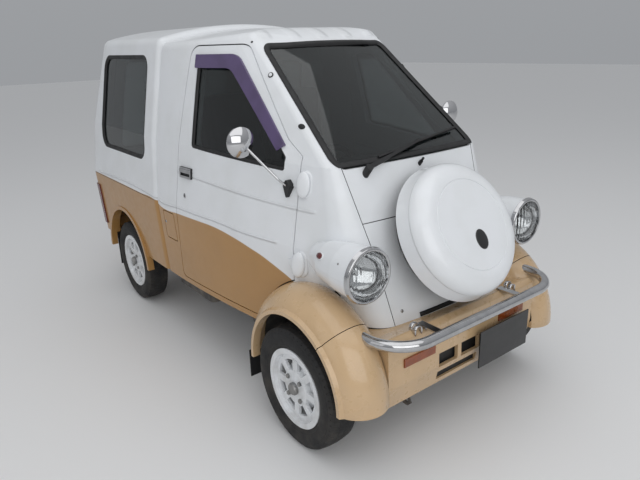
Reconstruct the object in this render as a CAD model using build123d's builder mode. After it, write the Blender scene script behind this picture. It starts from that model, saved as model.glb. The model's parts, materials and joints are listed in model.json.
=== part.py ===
from build123d import *
from collections import namedtuple
from math import asin, atan, atan2, copysign, cos, hypot, pi, radians, sin, sqrt
import os

os.makedirs("parts", exist_ok=True)

# A kei truck with a closed cargo body, in millimetres.
# The nose points to -Y, the driver sits at -X, +Z is up, and the origin is on the
# ground under the middle of the vehicle.

# Overall sizes
LENGTH = 2790
WIDTH = 1295
HEIGHT = 1650
WHEELBASE = 1840
FRONT_AXLE_Y = -948
REAR_AXLE_Y = FRONT_AXLE_Y + WHEELBASE
NOSE_Y = -LENGTH / 2
TAIL_Y = LENGTH / 2

# Wheels
TYRE_R = 254
TYRE_W = 137
RIM_R = 166
RIM_W = 116
BEAD_R = 152
FRONT_WHEEL_X = 579
REAR_WHEEL_X = 533
KINGPIN_X = 560
KINGPIN_R = 9
SPINDLE_R = 15
PIN_CLEAR = 0.08
SPOKES = 8
LUGS = 4
LUG_CIRCLE_R = 55

# Fits and gaps
PANEL_GAP = 5
SEAM = 3
SEAT = 0.3
SKIN = 16
CAB_WALL = 52
ROOF_WALL = 34
GLASS_T = 5
GLASS_INSET = 12

# Cab
CAB_REAR_Y = 275
CAB_ROOF_Z = 1622
SILL_Z = 375
NOSE_BOTTOM_Z = 500
BELT_Z = 775
TOP_Z = 1690
FRONT_WALL = 50
BACK_WALL = 26

CabSection = namedtuple("CabSection", "z rear_x side_x side_y seam_x seam_y nose_y corner_r wall_scale")
CAB_SECTIONS = [
    CabSection(SILL_Z, 600, 506, -835, 283, -1206, -1228, 90, 1.1),
    CabSection(BELT_Z, 622, 497, -820, 325, -1078, -1092, 150, 1.1),
    CabSection(1100, 588, 448, -800, 375, -950, -968, 62, 1.4),
    CabSection(TOP_Z, 475, 377, -150, 311, -212, -228, 50, 1.6),
]

# Cargo body
BOX_FRONT_Y = CAB_REAR_Y + 8
BOX_ROOF_Z = HEIGHT
BOX_WALL = 40
BoxSection = namedtuple("BoxSection", "z half_x rear_y corner_r")
BOX_SECTIONS = [
    BoxSection(SILL_Z, 604, 1360, 60),
    BoxSection(BELT_Z, 626, 1378, 70),
    BoxSection(1100, 598, 1325, 80),
    BoxSection(TOP_Z, 487, 1160, 90),
]
FLOOR_Z = 620
FLOOR_T = 10

# Wheel arches
FRONT_ARCH_R = 282
FRONT_ARCH_Z = 284
REAR_ARCH_R = 304
REAR_ARCH_Z = 289
HOUSE_R = 322
HOUSE_IN_R = 238
HOUSE_STEP_X = 445
HOUSE_WALL_X = 352
LIP_W = 22

# Doors: outline in the side view, (y, z), from the lower rear corner round to the front
DOOR_REAR_LOW_Y = 100
DOOR_REAR_TOP_Y = -14
DOOR_BOTTOM_Z = 402
DOOR_TOP_Z = 1548
DOOR_FRONT_Y = -800
DOOR_WING_R = 378
DOOR_HINGE_Y = DOOR_FRONT_Y
DOOR_HINGE_LOW_X = -512
DOOR_HINGE_LOW_Z = 712
DOOR_HINGE_TOP_X = -469
DOOR_HINGE_TOP_Z = 1027
DOOR_BARREL_R = 6
DOOR_PIN_R = 3
DOOR_BARREL_HALF = 12
DOOR_CHEEK_T = 7
DOOR_LEAF_L = 25
DOOR_LEAF_HALF = 3
DOOR_LEAF_SINK = 16
DOOR_HEAD_T = 12
DOOR_HEAD_DROP = 9
COVER_DOME_L = 110
COVER_DOME_W = 63
COVER_DOME_H = 13
DOME_LOW = (-491, -836, DOOR_HINGE_LOW_Z)
DOME_TOP = (-447, -832, DOOR_HINGE_TOP_Z)
DOME_OUT = (-0.92, -0.37, 0.12)
DOME_FORWARD = (0.37, -0.92, 0)

# Fuel lid on the right quarter panel
FUEL_FRONT_Y = 100
FUEL_REAR_Y = 228
FUEL_LOW_Z = 589
FUEL_TOP_Z = 743
FUEL_DEPTH = 24
FUEL_LID_T = 4
FUEL_AXIS_X = -607
FUEL_AXIS_Y = FUEL_FRONT_Y + 12
FUEL_LEAN = 0.055
FUEL_PIN_R = 2.5
FUEL_BARREL_R = 5
FUEL_BARREL_HALF = 40
FUEL_CAP_R = 26
FUEL_CAP_Y = 168
FUEL_PIN_ROOM = 1.5

DOOR_REAR_MID_Y = 41
DOOR_REAR_MID_Z = 950
DOOR_BEND_Y = -352
DOOR_SHOULDER_Y = -706
DOOR_SHOULDER_Z = 1188
DOOR_KNEE_Z = 1130
DOOR_INNER_X = 330

# Roof, windscreen and side glass
ROOF_R = 45
CROWN_X = 640
CROWN_DROP = 107
BROW_Y = -398
BROW_Z = 1552
SILL_FRONT_Y = -620
SCREEN_LOW_X = 392
SCREEN_LOW_Z = 1090
SCREEN_TOP_X = 334
SCREEN_TOP_Z = 1534
SCREEN_BACK_Y = -300
SCREEN_CORNER_R = 34
GLASS_SINK = 6
BACK_WINDOW_X = 330
BACK_WINDOW_LOW_Z = 1130
BACK_WINDOW_TOP_Z = 1450
WINDOW_REAR_Y = -92
WINDOW_REAR_TOP_Y = -70
WINDOW_LOW_Z = 1098
WINDOW_TOP_Z = 1480
WINDOW_BEND_Y = -310
WINDOW_FRONT_Y = -716
WINDOW_KNEE_Z = 1120
WINDOW_FRONT_LOW_Z = 1066

# Cargo body windows, hatch and tailgate
BOX_FRONT_R = 45
BOX_ROOF_R = 50
BOX_REAR_WALL = 42
CARGO_WINDOW_FRONT_Y = 426
CARGO_WINDOW_REAR_Y = 1116
CARGO_WINDOW_LOW_Z = 975
CARGO_WINDOW_TOP_Z = 1500
HATCH_LOW_X = 520
HATCH_TOP_X = 420
HATCH_TOP_Z = 1545
HATCH_FRONT_Y = 1080
HATCH_WINDOW_LOW_X = 430
HATCH_WINDOW_TOP_X = 365
HATCH_WINDOW_LOW_Z = 900
HATCH_WINDOW_TOP_Z = 1470
GATE_X = 560
PLATE_HOLE_X = 105
PLATE_HOLE_Z = 620
PLATE_HOLE_R = 3.5
GATE_LOW_Z = 440
HINGE_HALF = 30
HINGE_GAP = 0.5
HINGE_CHEEK_T = 10
HINGE_PIN_R = 5
HINGE_ROOM = 1.5
HATCH_HINGE_X = 250
HATCH_HINGE_Y = 1205
HATCH_HINGE_Z = 1548
HATCH_BARREL_R = 7
GATE_HINGE_X = 350
GATE_HINGE_Y = 1368
GATE_BARREL_R = 9
ARCH_LIP_IN_X = 585
ARCH_LIP_OUT_X = 622

# Front wings: the section at any angle round the axle, from the valley by the nose out to the lip
WingPoint = namedtuple("WingPoint", "x r")
WING_SECTION = [
    WingPoint(352, 232),
    WingPoint(430, 323),
    WingPoint(478, 366),
    WingPoint(530, 376),
    WingPoint(597, 350),
    WingPoint(632, 306),
    WingPoint(WIDTH / 2, 298),
]
WING_REAR_LOW_Z = 272
WING_REAR_CUT_Y = FRONT_AXLE_Y + 250
WING_SEAM_X = 448
WING_SPLIT_ANGLE = 52
WING_NOSE_Y = -1274
LOW_CUT_Z = -450
WING_FOOT_X = 505
ARCH_INNER_X = 612
HOUSE_T = 5

# Front bumper, lamps and plate
BUMPER_BACK_Y = -1190
BUMPER_TOP_Z = 524
BUMPER_LOW_Z = 234
SHELF_BACK_Y = -1078
SHELF_BACK_Z = 491
BUMPER_CAP_T = 10
BUMPER_CAP_BACK_Y = -1215
GRILLE_SLOTS = [(-172, -60, 322, 384), (-38, 72, 322, 384), (-172, 72, 262, 300)]
LAMP_IN_X = 200
LAMP_OUT_X = 368
LAMP_LOW_Z = 400
LAMP_TOP_Z = 434
PLATE_X = 38
PLATE_W = 330
PLATE_Y = -1320
PLATE_Z = 250
PLATE_H = 165
PLATE_T = 5
BAR_R = 21
BAR_Y = NOSE_Y + BAR_R
BAR_Z = 536
BAR_END_X = 494
BAR_END_Y = -1192
BAR_BEND_R = 160
BRACKET_X = 245

# Spare wheel and its cover: the face's middle, its tilt, and radii against depth behind the face
COVER_Y = -1279
COVER_Z = 876
COVER_TILT = 30
COVER_T = 5
COVER_RIM_R = 278
COVER_DEPTH = 120
COVER_WAIST_R = 264
COVER_WAIST_D = 66
COVER_BODY_R = 267
COVER_BODY_D = 56
COVER_SHOULDER_R = 243
COVER_SHOULDER_D = 17
COVER_FACE_R = 193
COVER_RING_R = 181
SPARE_R = COVER_WAIST_R - COVER_T + 1.2
SPARE_BACK_D = 165
CARRIER_R = 55
CARRIER_L = 270

# Headlamps
LAMP_X = 469
LAMP_Z = 768
LAMP_FACE_Y = -1190
RING_R = 106.5
LENS_R = 92
BOWL_R = 93
BOWL_DEPTH = 84
BOWL_T = 3
# radius against depth behind the face
POD_SECTION = [(101, 0), (96, 90), (80, 190), (52, 270), (0, 290)]

# Wheel details
WELL_R = 140
DISC_X = 34
DISC_RING_R = 118
HUB_R = 80
CAP_R = 26
SPOKE_W = 30
DRUM_X = 2
DRUM_R = 96

# Steering and suspension
KNUCKLE_LOW_Z = 196
KNUCKLE_TOP_Z = 312
STRUT_X = 470
STRUT_R = 20
STRUT_TOP_Z = 600
RACK_X = 330
RACK_Y = -820
RACK_R = 26

# Chassis and floor
RAIL_X = 290
RAIL_W = 50
RAIL_Z = 318
RACK_Z = RAIL_Z - RACK_R - SEAT
RAIL_FRONT_Y = -1180
RAIL_REAR_Y = 1310
CROSS_MEMBER_Y = [-1150, -640, -60, 560, 1285]
OUTRIGGER_Y = [-500, 480, 1250]
OUTRIGGER_X = 530
FLOOR_HALF_X = 585
FLOOR_REAR_Y = 1312
TOW_X = 290
TOW_T = 8
TOW_HOLE_R = 14
TOW_HALF = 28
TOW_ROOM = 6
# eye middle, and the middle of the plate's root on the rail
TowEye = namedtuple("TowEye", "y z root_y")
FRONT_TOW = TowEye(-1226, 205, -1150)
REAR_TOW = TowEye(1280, 268, 1280)
FLOOR_FRONT_Y = -1100
FOOT_Z = 400
FOOT_T = 8
RAIL_H = FOOT_Z - FOOT_T - SEAT - RAIL_Z
BODY_MOUNT_Y = [480, 1250]
FOOT_X = 540
FOOT_BACK_Y = -600
SEAT_STEP_Y = -330
DECK_Z = 600
BACK_GAP_X = 540
HOUSE_OUT_X = 560
HOUSE_LOW_Z = 300

# Engine, tank and exhaust
ENGINE_X = 200
ENGINE_FRONT_Y = -20
ENGINE_L = 420
ENGINE_Z = 250
ENGINE_H = 330
TANK_W = 190
TANK_X = -(RAIL_X + RAIL_W / 2 + SEAT + TANK_W / 2)
TANK_Y = 190
ENGINE_MOUNT_Y = [80, 300]
ENGINE_MOUNT_Z = 340
ENGINE_MOUNT_T = 30
TANK_L = 420
TANK_Z = 250
TANK_H = 170
EXHAUST_Z = 290
EXHAUST_OVER_Z = 350

# Rear axle and springs
AXLE_R = 30
DIFF_R = 95
SPRING_X = 400
SPRING_W = 50
SPRING_T = 24
SPRING_Z = 292
SPRING_RISE = 42
SPRING_HALF = 380

# Inside the cab
DRIVER_X = 205
DASH_X = 350
DASH_FRONT_Y = -915
DASH_BACK_Y = -720
DASH_LOW_Z = 760
DASH_TOP_Z = 1050
SEAT_W = 360
SEAT_FRONT_Y = -330
SEAT_BACK_Y = 90
SEAT_TOP_Z = 730
SEAT_HEAD_Z = 1300
COLUMN_TILT = 40
COLUMN_R = 28
COLUMN_L = 260
WHEEL_Y = -560
WHEEL_Z = 985
WHEEL_RIM_R = 172

# Wiper, mirrors, handles and lamps
# wiper and washer places on the windscreen's plane: across, and up the glass
SCREEN_FOOT_Y = -968
SCREEN_FOOT_Z = 1100
SCREEN_RUN = 740
SCREEN_RISE = 590
WIPER_PIVOT = (-272, -25)
WIPER_JOIN = (70, 61)
BLADE_START = (-190, 20)
BLADE_END = (335, 103)
BLADE_W = 9
BLADE_LOW = -2.5
BLADE_TOP = 7
WIPER_ARM_TOP = 14
WIPER_BOSS_R = 15
NOZZLE_PLACE = (14, -34)
VISOR_OUT = 8
VISOR_T = 3
VISOR_EDGE = 5
VISOR_TOP_Z = 1508
VISOR_LOW_Z = 1450
VISOR_REAR_Y = -60
VISOR_BEND_Y = -318
VISOR_FRONT_Y = -700
VISOR_FRONT_Z = 1164
MIRROR_BASE_X = 476
MIRROR_BASE_Y = -751
MIRROR_BASE_Z = 1005
MIRROR_HEAD_X = 609
MIRROR_HEAD_Y = -630
MIRROR_HEAD_Z = 1186
MIRROR_R = 60
HANDLE_Y = -52
HANDLE_Z = 975
HANDLE_L = 104
HANDLE_H = 50
HANDLE_PROUD = 10
HANDLE_RECESS = 3
HANDLE_GRIP = 13
HANDLE_FRAME = 10
LAMP_PROUD = 8
TAIL_LAMP_Z = 425
TAIL_LAMP_H = 270
REAR_BUMPER_X = 555
REAR_BUMPER_TOP_Z = 425
FLAP_LOW_Z = 140
FLAP_IN_X = 490
FLAP_OUT_X = 630
FLAP_FRONT_Y = -604
FLAP_REAR_Y = 1204
FLAP_T = 4

# Panel seams of the nose
PILLAR_SEAM_Z = 1196
LID_SEAM_Z = 891


def plan_section(row, side_wall=0, front_wall=0, rear_y=CAB_REAR_Y):
    """One level outline of the cab: side arcs, straight cheeks, corner arcs and a bowed nose."""
    front = front_wall * row.wall_scale
    rear = (row.rear_x - side_wall, rear_y)
    side = (row.side_x - side_wall, row.side_y + front * 0.3)
    seam = (row.seam_x - side_wall * 0.6, row.seam_y + front)
    nose = (0, row.nose_y + front)
    corner_r = row.corner_r * 0.9 if side_wall else row.corner_r
    # the nose arc's direction where it meets the corner arc
    turn = 2 * atan((seam[1] - nose[1]) / seam[0])
    centre = (seam[0] - corner_r * sin(turn), seam[1] + corner_r * cos(turn))
    reach = hypot(side[0] - centre[0], side[1] - centre[1])
    lean = atan2(side[0] - centre[0], side[1] - centre[1]) - asin(corner_r / reach)
    touch = (centre[0] + corner_r * cos(lean), centre[1] - corner_r * sin(lean))
    middle_angle = (lean + (pi / 2 - turn)) / 2
    middle = (centre[0] + corner_r * cos(middle_angle), centre[1] - corner_r * sin(middle_angle))
    run = rear[1] - side[1]
    bow = rear[0] - side[0]
    side_r = (run ** 2 + bow ** 2) / (2 * bow)
    half_run = run / 2
    side_mid = (rear[0] - side_r + sqrt(side_r ** 2 - half_run ** 2), rear[1] - half_run)
    with BuildSketch(Plane.XY.offset(row.z)) as outline:
        with BuildLine():
            for s in (1, -1):
                ThreePointArc((s * rear[0], rear[1]), (s * side_mid[0], side_mid[1]), (s * side[0], side[1]))
                Line((s * side[0], side[1]), (s * touch[0], touch[1]))
                ThreePointArc((s * touch[0], touch[1]), (s * middle[0], middle[1]), (s * seam[0], seam[1]))
            ThreePointArc((seam[0], seam[1]), nose, (-seam[0], seam[1]))
            Line((-rear[0], rear[1]), (rear[0], rear[1]))
        make_face()
    return outline.sketch


def cab_loft(side_wall=0, front_wall=0, rear_y=CAB_REAR_Y):
    with BuildPart() as body:
        for row in CAB_SECTIONS:
            add(plan_section(row, side_wall, front_wall, rear_y))
        loft(ruled=True)
    return body.part


def mirrored(solid):
    """The same solid on the other side of the vehicle."""
    return solid.mirror(Plane.YZ)


def side_prism(points, x_lo, x_hi, radii=0):
    """A closed outline in the side view, (y, z), run across from x_lo to x_hi."""
    with BuildPart() as prism:
        with BuildSketch(Plane.YZ.offset(x_lo)):
            with BuildLine():
                if radii:
                    FilletPolyline(*points, radius=radii, close=True)
                else:
                    Polyline(*points, close=True)
            make_face()
        extrude(amount=x_hi - x_lo)
    return prism.part


def front_prism(points, y_lo, y_hi, radii=0):
    """A closed outline in the front view, (x, z), run from y_lo back to y_hi."""
    with BuildPart() as prism:
        with BuildSketch(Plane.XZ.offset(-y_lo)):
            with BuildLine():
                if radii:
                    FilletPolyline(*points, radius=radii, close=True)
                else:
                    Polyline(*points, close=True)
            make_face()
        extrude(amount=y_lo - y_hi)
    return prism.part


def block(x_lo, x_hi, y_lo, y_hi, z_lo, z_hi):
    """A plain block between two corners."""
    with BuildPart(Plane.XY.offset(z_lo)) as solid:
        with Locations(((x_lo + x_hi) / 2, (y_lo + y_hi) / 2)):
            Box(x_hi - x_lo, y_hi - y_lo, z_hi - z_lo, align=(Align.CENTER, Align.CENTER, Align.MIN))
    return solid.part


def cross_rod(radius, x_lo, x_hi, y, z):
    """A round bar across the vehicle."""
    with BuildPart() as rod:
        with BuildSketch(Plane.YZ.offset(x_lo)):
            with Locations((y, z)):
                Circle(radius)
        extrude(amount=x_hi - x_lo)
    return rod.part


def crown_tool(centre_z, y_lo, y_hi):
    """Everything below the crowned roof line."""
    edge_z = centre_z - CROWN_DROP
    with BuildPart() as tool:
        with BuildSketch(Plane.XZ.offset(-y_lo)):
            with BuildLine():
                ThreePointArc((-CROWN_X, edge_z), (0, centre_z), (CROWN_X, edge_z))
                Polyline((CROWN_X, edge_z), (CROWN_X, 0), (-CROWN_X, 0), (-CROWN_X, edge_z))
            make_face()
        extrude(amount=y_lo - y_hi)
    return tool.part


def cab_side_tool(drop=0):
    """The cab's outline in the side view: sill, open nose bottom and the roof's front curve."""
    brow = (BROW_Y + drop * 0.6, BROW_Z - drop)
    roof_front = (BROW_Y + 168 + drop * 0.6, CAB_ROOF_Z - 10 - drop)
    roof_rear = (CAB_REAR_Y + 10, CAB_ROOF_Z - drop)
    with BuildPart() as tool:
        with BuildSketch(Plane.YZ.offset(-CROWN_X)):
            with BuildLine():
                Polyline((NOSE_Y, NOSE_BOTTOM_Z), (NOSE_Y, 1150), brow)
                ThreePointArc(brow, (brow[0] + 76, brow[1] + 45), roof_front)
                Polyline(roof_front, roof_rear, (CAB_REAR_Y + 10, SILL_Z), (SILL_FRONT_Y, SILL_Z),
                         (SILL_FRONT_Y - 80, NOSE_BOTTOM_Z), (NOSE_Y, NOSE_BOTTOM_Z))
            make_face()
        extrude(amount=2 * CROWN_X)
    return tool.part


def cab_solid(side_wall=0, front_wall=0, roof_drop=0, rear_y=CAB_REAR_Y, rounding=0):
    """The cab as one solid, a wall's thickness inside its outer skin."""
    full = cab_loft(side_wall, front_wall, rear_y) & crown_tool(CAB_ROOF_Z + 2 - roof_drop, NOSE_Y,
                                                                CAB_REAR_Y + 200)
    if rounding:
        rim = [edge for edge in full.edges()
               if edge.center().Z > BROW_Z - 52 and abs(edge.center().X) > 330 and edge.center().Y < rear_y - 5]
        full = full.fillet(rounding, rim)
    return full & cab_side_tool(roof_drop)


# Cab solids
cab_outer = cab_solid(rounding=ROOF_R)
cab_back_of_skin = cab_solid(SKIN, SKIN, SKIN)
cab_inner = cab_solid(CAB_WALL, FRONT_WALL, ROOF_WALL, CAB_REAR_Y - BACK_WALL)
glass_outer = cab_solid(GLASS_INSET, GLASS_SINK, GLASS_INSET)
glass_inner = cab_solid(GLASS_INSET + GLASS_T, GLASS_SINK + GLASS_T, GLASS_INSET + GLASS_T)
glass_layer = glass_outer - glass_inner


def wing_cylinder(radius, x_lo, x_hi):
    return cross_rod(radius, x_lo, x_hi, FRONT_AXLE_Y, FRONT_ARCH_Z)


def house_tool(grown, x_out, x_in=-HOUSE_WALL_X):
    """The right wheel house as a stepped cylinder: wide by the wheel, narrow by the footwell."""
    return (wing_cylinder(HOUSE_R + grown, x_out, -HOUSE_STEP_X + grown)
            + wing_cylinder(HOUSE_IN_R + grown, x_out, x_in + grown))


house_cut_right = house_tool(HOUSE_T + SEAT, -700)
house_cut_left = mirrored(house_cut_right)
# The cab's back wall stops at the seat deck
deck_gap = block(-BACK_GAP_X, BACK_GAP_X, CAB_REAR_Y - BACK_WALL - 40, CAB_REAR_Y + 5, 0, DECK_Z)

# Windscreen opening in the front view, and the cab's rear window
screen_points = [(-SCREEN_LOW_X, SCREEN_LOW_Z), (-SCREEN_TOP_X, SCREEN_TOP_Z),
                 (SCREEN_TOP_X, SCREEN_TOP_Z), (SCREEN_LOW_X, SCREEN_LOW_Z)]
screen_cut = front_prism(screen_points, NOSE_Y, SCREEN_BACK_Y, SCREEN_CORNER_R)
screen_pane_points = [(-SCREEN_LOW_X + SEAT, SCREEN_LOW_Z + SEAT),
                      (-SCREEN_TOP_X + SEAT, SCREEN_TOP_Z - SEAT),
                      (SCREEN_TOP_X - SEAT, SCREEN_TOP_Z - SEAT), (SCREEN_LOW_X - SEAT, SCREEN_LOW_Z + SEAT)]
screen_pane_cut = front_prism(screen_pane_points, NOSE_Y, SCREEN_BACK_Y, SCREEN_CORNER_R)


def back_window_points(clear=0):
    x = BACK_WINDOW_X - clear
    return [(-x, BACK_WINDOW_LOW_Z + clear), (-x, BACK_WINDOW_TOP_Z - clear),
            (x, BACK_WINDOW_TOP_Z - clear), (x, BACK_WINDOW_LOW_Z + clear)]


back_window_cut = front_prism(back_window_points(), CAB_REAR_Y - BACK_WALL - 40, CAB_REAR_Y + 10, 40)
back_pane = front_prism(back_window_points(SEAT), CAB_REAR_Y - BACK_WALL + 8,
                        CAB_REAR_Y - BACK_WALL + 8 + GLASS_T, 40)


# Doors: the outline's last stretch follows the front wing
def door_tool(clear=0):
    """The door's outline run across one side, with its front lower corner cut round the wing."""
    points = [(DOOR_REAR_LOW_Y - clear, DOOR_BOTTOM_Z + clear), (DOOR_REAR_MID_Y - clear, DOOR_REAR_MID_Z),
              (DOOR_REAR_TOP_Y - clear, DOOR_TOP_Z - clear), (DOOR_BEND_Y + clear * 0.3, DOOR_TOP_Z - clear),
              (DOOR_SHOULDER_Y + clear, DOOR_SHOULDER_Z - clear * 0.4), (DOOR_FRONT_Y + clear, DOOR_KNEE_Z),
              (DOOR_FRONT_Y + clear, DOOR_BOTTOM_Z + clear)]
    radii = [30, 0, 55, 90, 20, 0, 0]
    with BuildPart() as tool:
        with BuildSketch(Plane.YZ.offset(-700)):
            with BuildLine():
                FilletPolyline(*points, radius=[max(r, 1) for r in radii], close=True)
            make_face()
        extrude(amount=700 - DOOR_INNER_X)
    return tool.part - wing_cylinder(DOOR_WING_R + clear, -701, -100)


door_open_right = door_tool()
door_slab_right = door_tool(PANEL_GAP)


def window_tool(clear=0):
    points = [(WINDOW_REAR_Y - clear, WINDOW_LOW_Z + clear),
              (WINDOW_REAR_TOP_Y - clear, WINDOW_TOP_Z - clear),
              (WINDOW_BEND_Y + clear * 0.3, WINDOW_TOP_Z - clear), (WINDOW_FRONT_Y + clear,
                                                                    WINDOW_KNEE_Z - clear),
              (WINDOW_FRONT_Y + clear, WINDOW_FRONT_LOW_Z + clear)]
    return side_prism(points, -700, -DOOR_INNER_X, [20, 25, 120, 12, 12])


window_cut = window_tool()
window_pane_cut = window_tool(SEAT)

# Zone of the front skins: corner panels, cowl panel and service lid lie over the cab's frame
skin_points = [(NOSE_Y, NOSE_BOTTOM_Z - 1), (DOOR_FRONT_Y - 1, NOSE_BOTTOM_Z - 1),
               (DOOR_FRONT_Y - 1, DOOR_KNEE_Z),
               (DOOR_SHOULDER_Y - 8, DOOR_SHOULDER_Z), (DOOR_SHOULDER_Y - 8, PILLAR_SEAM_Z), (NOSE_Y, PILLAR_SEAM_Z)]
skin_zone = side_prism(skin_points, -CROWN_X, CROWN_X) - cab_back_of_skin

cab_hollow = cab_outer - cab_inner


def fuel_rectangle(clear, radius):
    """The fuel lid's outline run into the right quarter panel."""
    points = [(FUEL_FRONT_Y + clear, FUEL_LOW_Z + clear), (FUEL_FRONT_Y + clear, FUEL_TOP_Z - clear),
              (FUEL_REAR_Y - clear, FUEL_TOP_Z - clear), (FUEL_REAR_Y - clear, FUEL_LOW_Z + clear)]
    return side_prism(points, -700, -560, radius)


def axis_rod(plane, radius, z_lo, z_hi, place=(0, 0)):
    """A round bar along a plane's normal."""
    with BuildPart() as rod:
        with BuildSketch(plane.offset(z_lo)):
            with Locations(place):
                Circle(radius)
        extrude(amount=z_hi - z_lo)
    return rod.part


def axis_block(plane, x_lo, x_hi, y_lo, y_hi, z_lo, z_hi):
    """A block given by two corners in a plane's own axes."""
    with BuildPart() as solid:
        with BuildSketch(plane.offset(z_lo)):
            with Locations(((x_lo + x_hi) / 2, (y_lo + y_hi) / 2)):
                Rectangle(x_hi - x_lo, y_hi - y_lo)
        extrude(amount=z_hi - z_lo)
    return solid.part


# The lid turns on a thin pin that runs from the pocket's floor to its top
fuel_mid_z = (FUEL_LOW_Z + FUEL_TOP_Z) / 2
fuel_half = (FUEL_TOP_Z - FUEL_LOW_Z) / 2
fuel_plane = Plane(origin=(FUEL_AXIS_X, FUEL_AXIS_Y, fuel_mid_z), x_dir=(-1, 0, -FUEL_LEAN),
                   z_dir=(-FUEL_LEAN, 0, 1))
fuel_pocket = fuel_rectangle(0, 14) - cab_solid(FUEL_DEPTH)
fuel_pin = axis_rod(fuel_plane, FUEL_PIN_R, -fuel_half - 8, fuel_half + 8)
fuel_cap = cross_rod(FUEL_CAP_R, FUEL_AXIS_X + 6, FUEL_AXIS_X + 6 + FUEL_DEPTH, FUEL_CAP_Y, fuel_mid_z)

with BuildPart() as cab_shell:
    add(cab_hollow)
    add(fuel_pocket, mode=Mode.SUBTRACT)
    add(fuel_pin)
    add(fuel_cap)
    add(skin_zone, mode=Mode.SUBTRACT)
    add(screen_cut, mode=Mode.SUBTRACT)
    add(back_window_cut, mode=Mode.SUBTRACT)
    add(door_open_right, mode=Mode.SUBTRACT)
    add(mirrored(door_open_right), mode=Mode.SUBTRACT)
    add(house_cut_right, mode=Mode.SUBTRACT)
    add(house_cut_left, mode=Mode.SUBTRACT)
    add(deck_gap, mode=Mode.SUBTRACT)


def save(part, name):
    """Label a finished piece and write it."""
    part.label = name
    export_step(part, f"parts/{name}.step")


save(cab_shell.part, "cab_shell")

with BuildPart() as fuel_lid:
    add((fuel_rectangle(PANEL_GAP, 10) & cab_outer) - cab_solid(FUEL_LID_T))
    add(axis_rod(fuel_plane, FUEL_BARREL_R, -FUEL_BARREL_HALF, FUEL_BARREL_HALF))
    add(axis_rod(fuel_plane, FUEL_PIN_R + PIN_CLEAR, -FUEL_BARREL_HALF - 1, FUEL_BARREL_HALF + 1),
        mode=Mode.SUBTRACT)
    for s in (-1, 1):
        near, far = sorted((s * (FUEL_BARREL_HALF + 1), s * (fuel_half + 8)))
        add(axis_rod(fuel_plane, FUEL_PIN_R + FUEL_PIN_ROOM, near, far), mode=Mode.SUBTRACT)
save(fuel_lid.part, "fuel_lid")

# Front skins
front_skin = (cab_outer & skin_zone) - screen_cut


def seam_tool(clear):
    """The space between the two hood seams, narrowing towards the ground."""
    right = [(-row.seam_x + clear, row.z) for row in CAB_SECTIONS]
    left = [(row.seam_x - clear, row.z) for row in reversed(CAB_SECTIONS)]
    return front_prism(right + left, NOSE_Y, DOOR_FRONT_Y + 200)


nose_inner = front_skin & seam_tool(SEAM / 2)

with BuildPart() as front_corner_right:
    add(front_skin)
    add(seam_tool(-SEAM / 2), mode=Mode.SUBTRACT)
    add(house_cut_right, mode=Mode.SUBTRACT)
    split(bisect_by=Plane.YZ, keep=Keep.BOTTOM)
    split(bisect_by=Plane.XZ.offset(-DOOR_SHOULDER_Y), keep=Keep.TOP)
with BuildPart() as front_corners:
    add(front_corner_right.part)
    add(mirrored(front_corner_right.part))
save(front_corners.part, "front_corners")

with BuildPart() as cowl_panel:
    add(nose_inner)
    split(bisect_by=Plane.XY.offset(LID_SEAM_Z + SEAM / 2), keep=Keep.TOP)
save(cowl_panel.part, "cowl_panel")

with BuildPart() as service_lid:
    add(nose_inner)
    split(bisect_by=Plane.XY.offset(LID_SEAM_Z - SEAM / 2), keep=Keep.BOTTOM)
save(service_lid.part, "service_lid")

with BuildPart() as cab_glass:
    add(glass_layer & screen_pane_cut)
    add(back_pane)
save(cab_glass.part, "cab_glass")

# Doors and their hinges: two pins on one line that leans with the cab's side, under rounded covers
hinge_rise = DOOR_HINGE_TOP_Z - DOOR_HINGE_LOW_Z
hinge_lean = (DOOR_HINGE_TOP_X - DOOR_HINGE_LOW_X) / hinge_rise


def door_hinge_plane(x, z):
    """X points outwards, Y forwards and Z up the hinge line."""
    return Plane(origin=(x, DOOR_HINGE_Y, z), x_dir=(-1, 0, hinge_lean), z_dir=(hinge_lean, 0, 1))


def door_knuckle(plane):
    """The door's leaf and barrel."""
    leaf = (axis_block(plane, -DOOR_LEAF_HALF, DOOR_LEAF_HALF, -DOOR_LEAF_L, 0, -DOOR_BARREL_HALF,
                       DOOR_BARREL_HALF)
            + axis_block(plane, -DOOR_LEAF_SINK, DOOR_LEAF_HALF, -DOOR_LEAF_L, -8, -DOOR_BARREL_HALF,
                         DOOR_BARREL_HALF)
            + axis_rod(plane, DOOR_BARREL_R, -DOOR_BARREL_HALF, DOOR_BARREL_HALF))
    return leaf - axis_rod(plane, DOOR_PIN_R + PIN_CLEAR, -DOOR_BARREL_HALF - 1, DOOR_BARREL_HALF + 1)


def hinge_cover(plane, foot):
    """The fixed side: a rounded cover on the corner panel, two cheeks and the pin."""
    near = DOOR_BARREL_HALF + HINGE_GAP
    far = near + DOOR_CHEEK_T
    dome_plane = Plane(origin=foot, x_dir=DOME_FORWARD, z_dir=DOME_OUT)
    with BuildPart() as dome:
        with BuildSketch(dome_plane.offset(-22)):
            SlotOverall(COVER_DOME_L, COVER_DOME_W, rotation=90)
        extrude(amount=22 + COVER_DOME_H)
        top_face = dome.faces().sort_by(Axis(foot, DOME_OUT))[-1]
        fillet(top_face.edges(), COVER_DOME_H - 2)
    cover = dome.part - axis_rod(plane, DOOR_BARREL_R + HINGE_ROOM, -near, near)
    for z_lo, z_hi in ((-far, -near), (near, far)):
        cover += axis_rod(plane, DOOR_BARREL_R, z_lo, z_hi)
        cover += axis_block(plane, -12, DOOR_LEAF_HALF, 0, 16, z_lo, z_hi)
    cover += axis_rod(plane, DOOR_PIN_R, -far, far)
    cover = cover - cab_outer
    return cover.solids().sort_by(SortBy.VOLUME)[-1]


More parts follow.
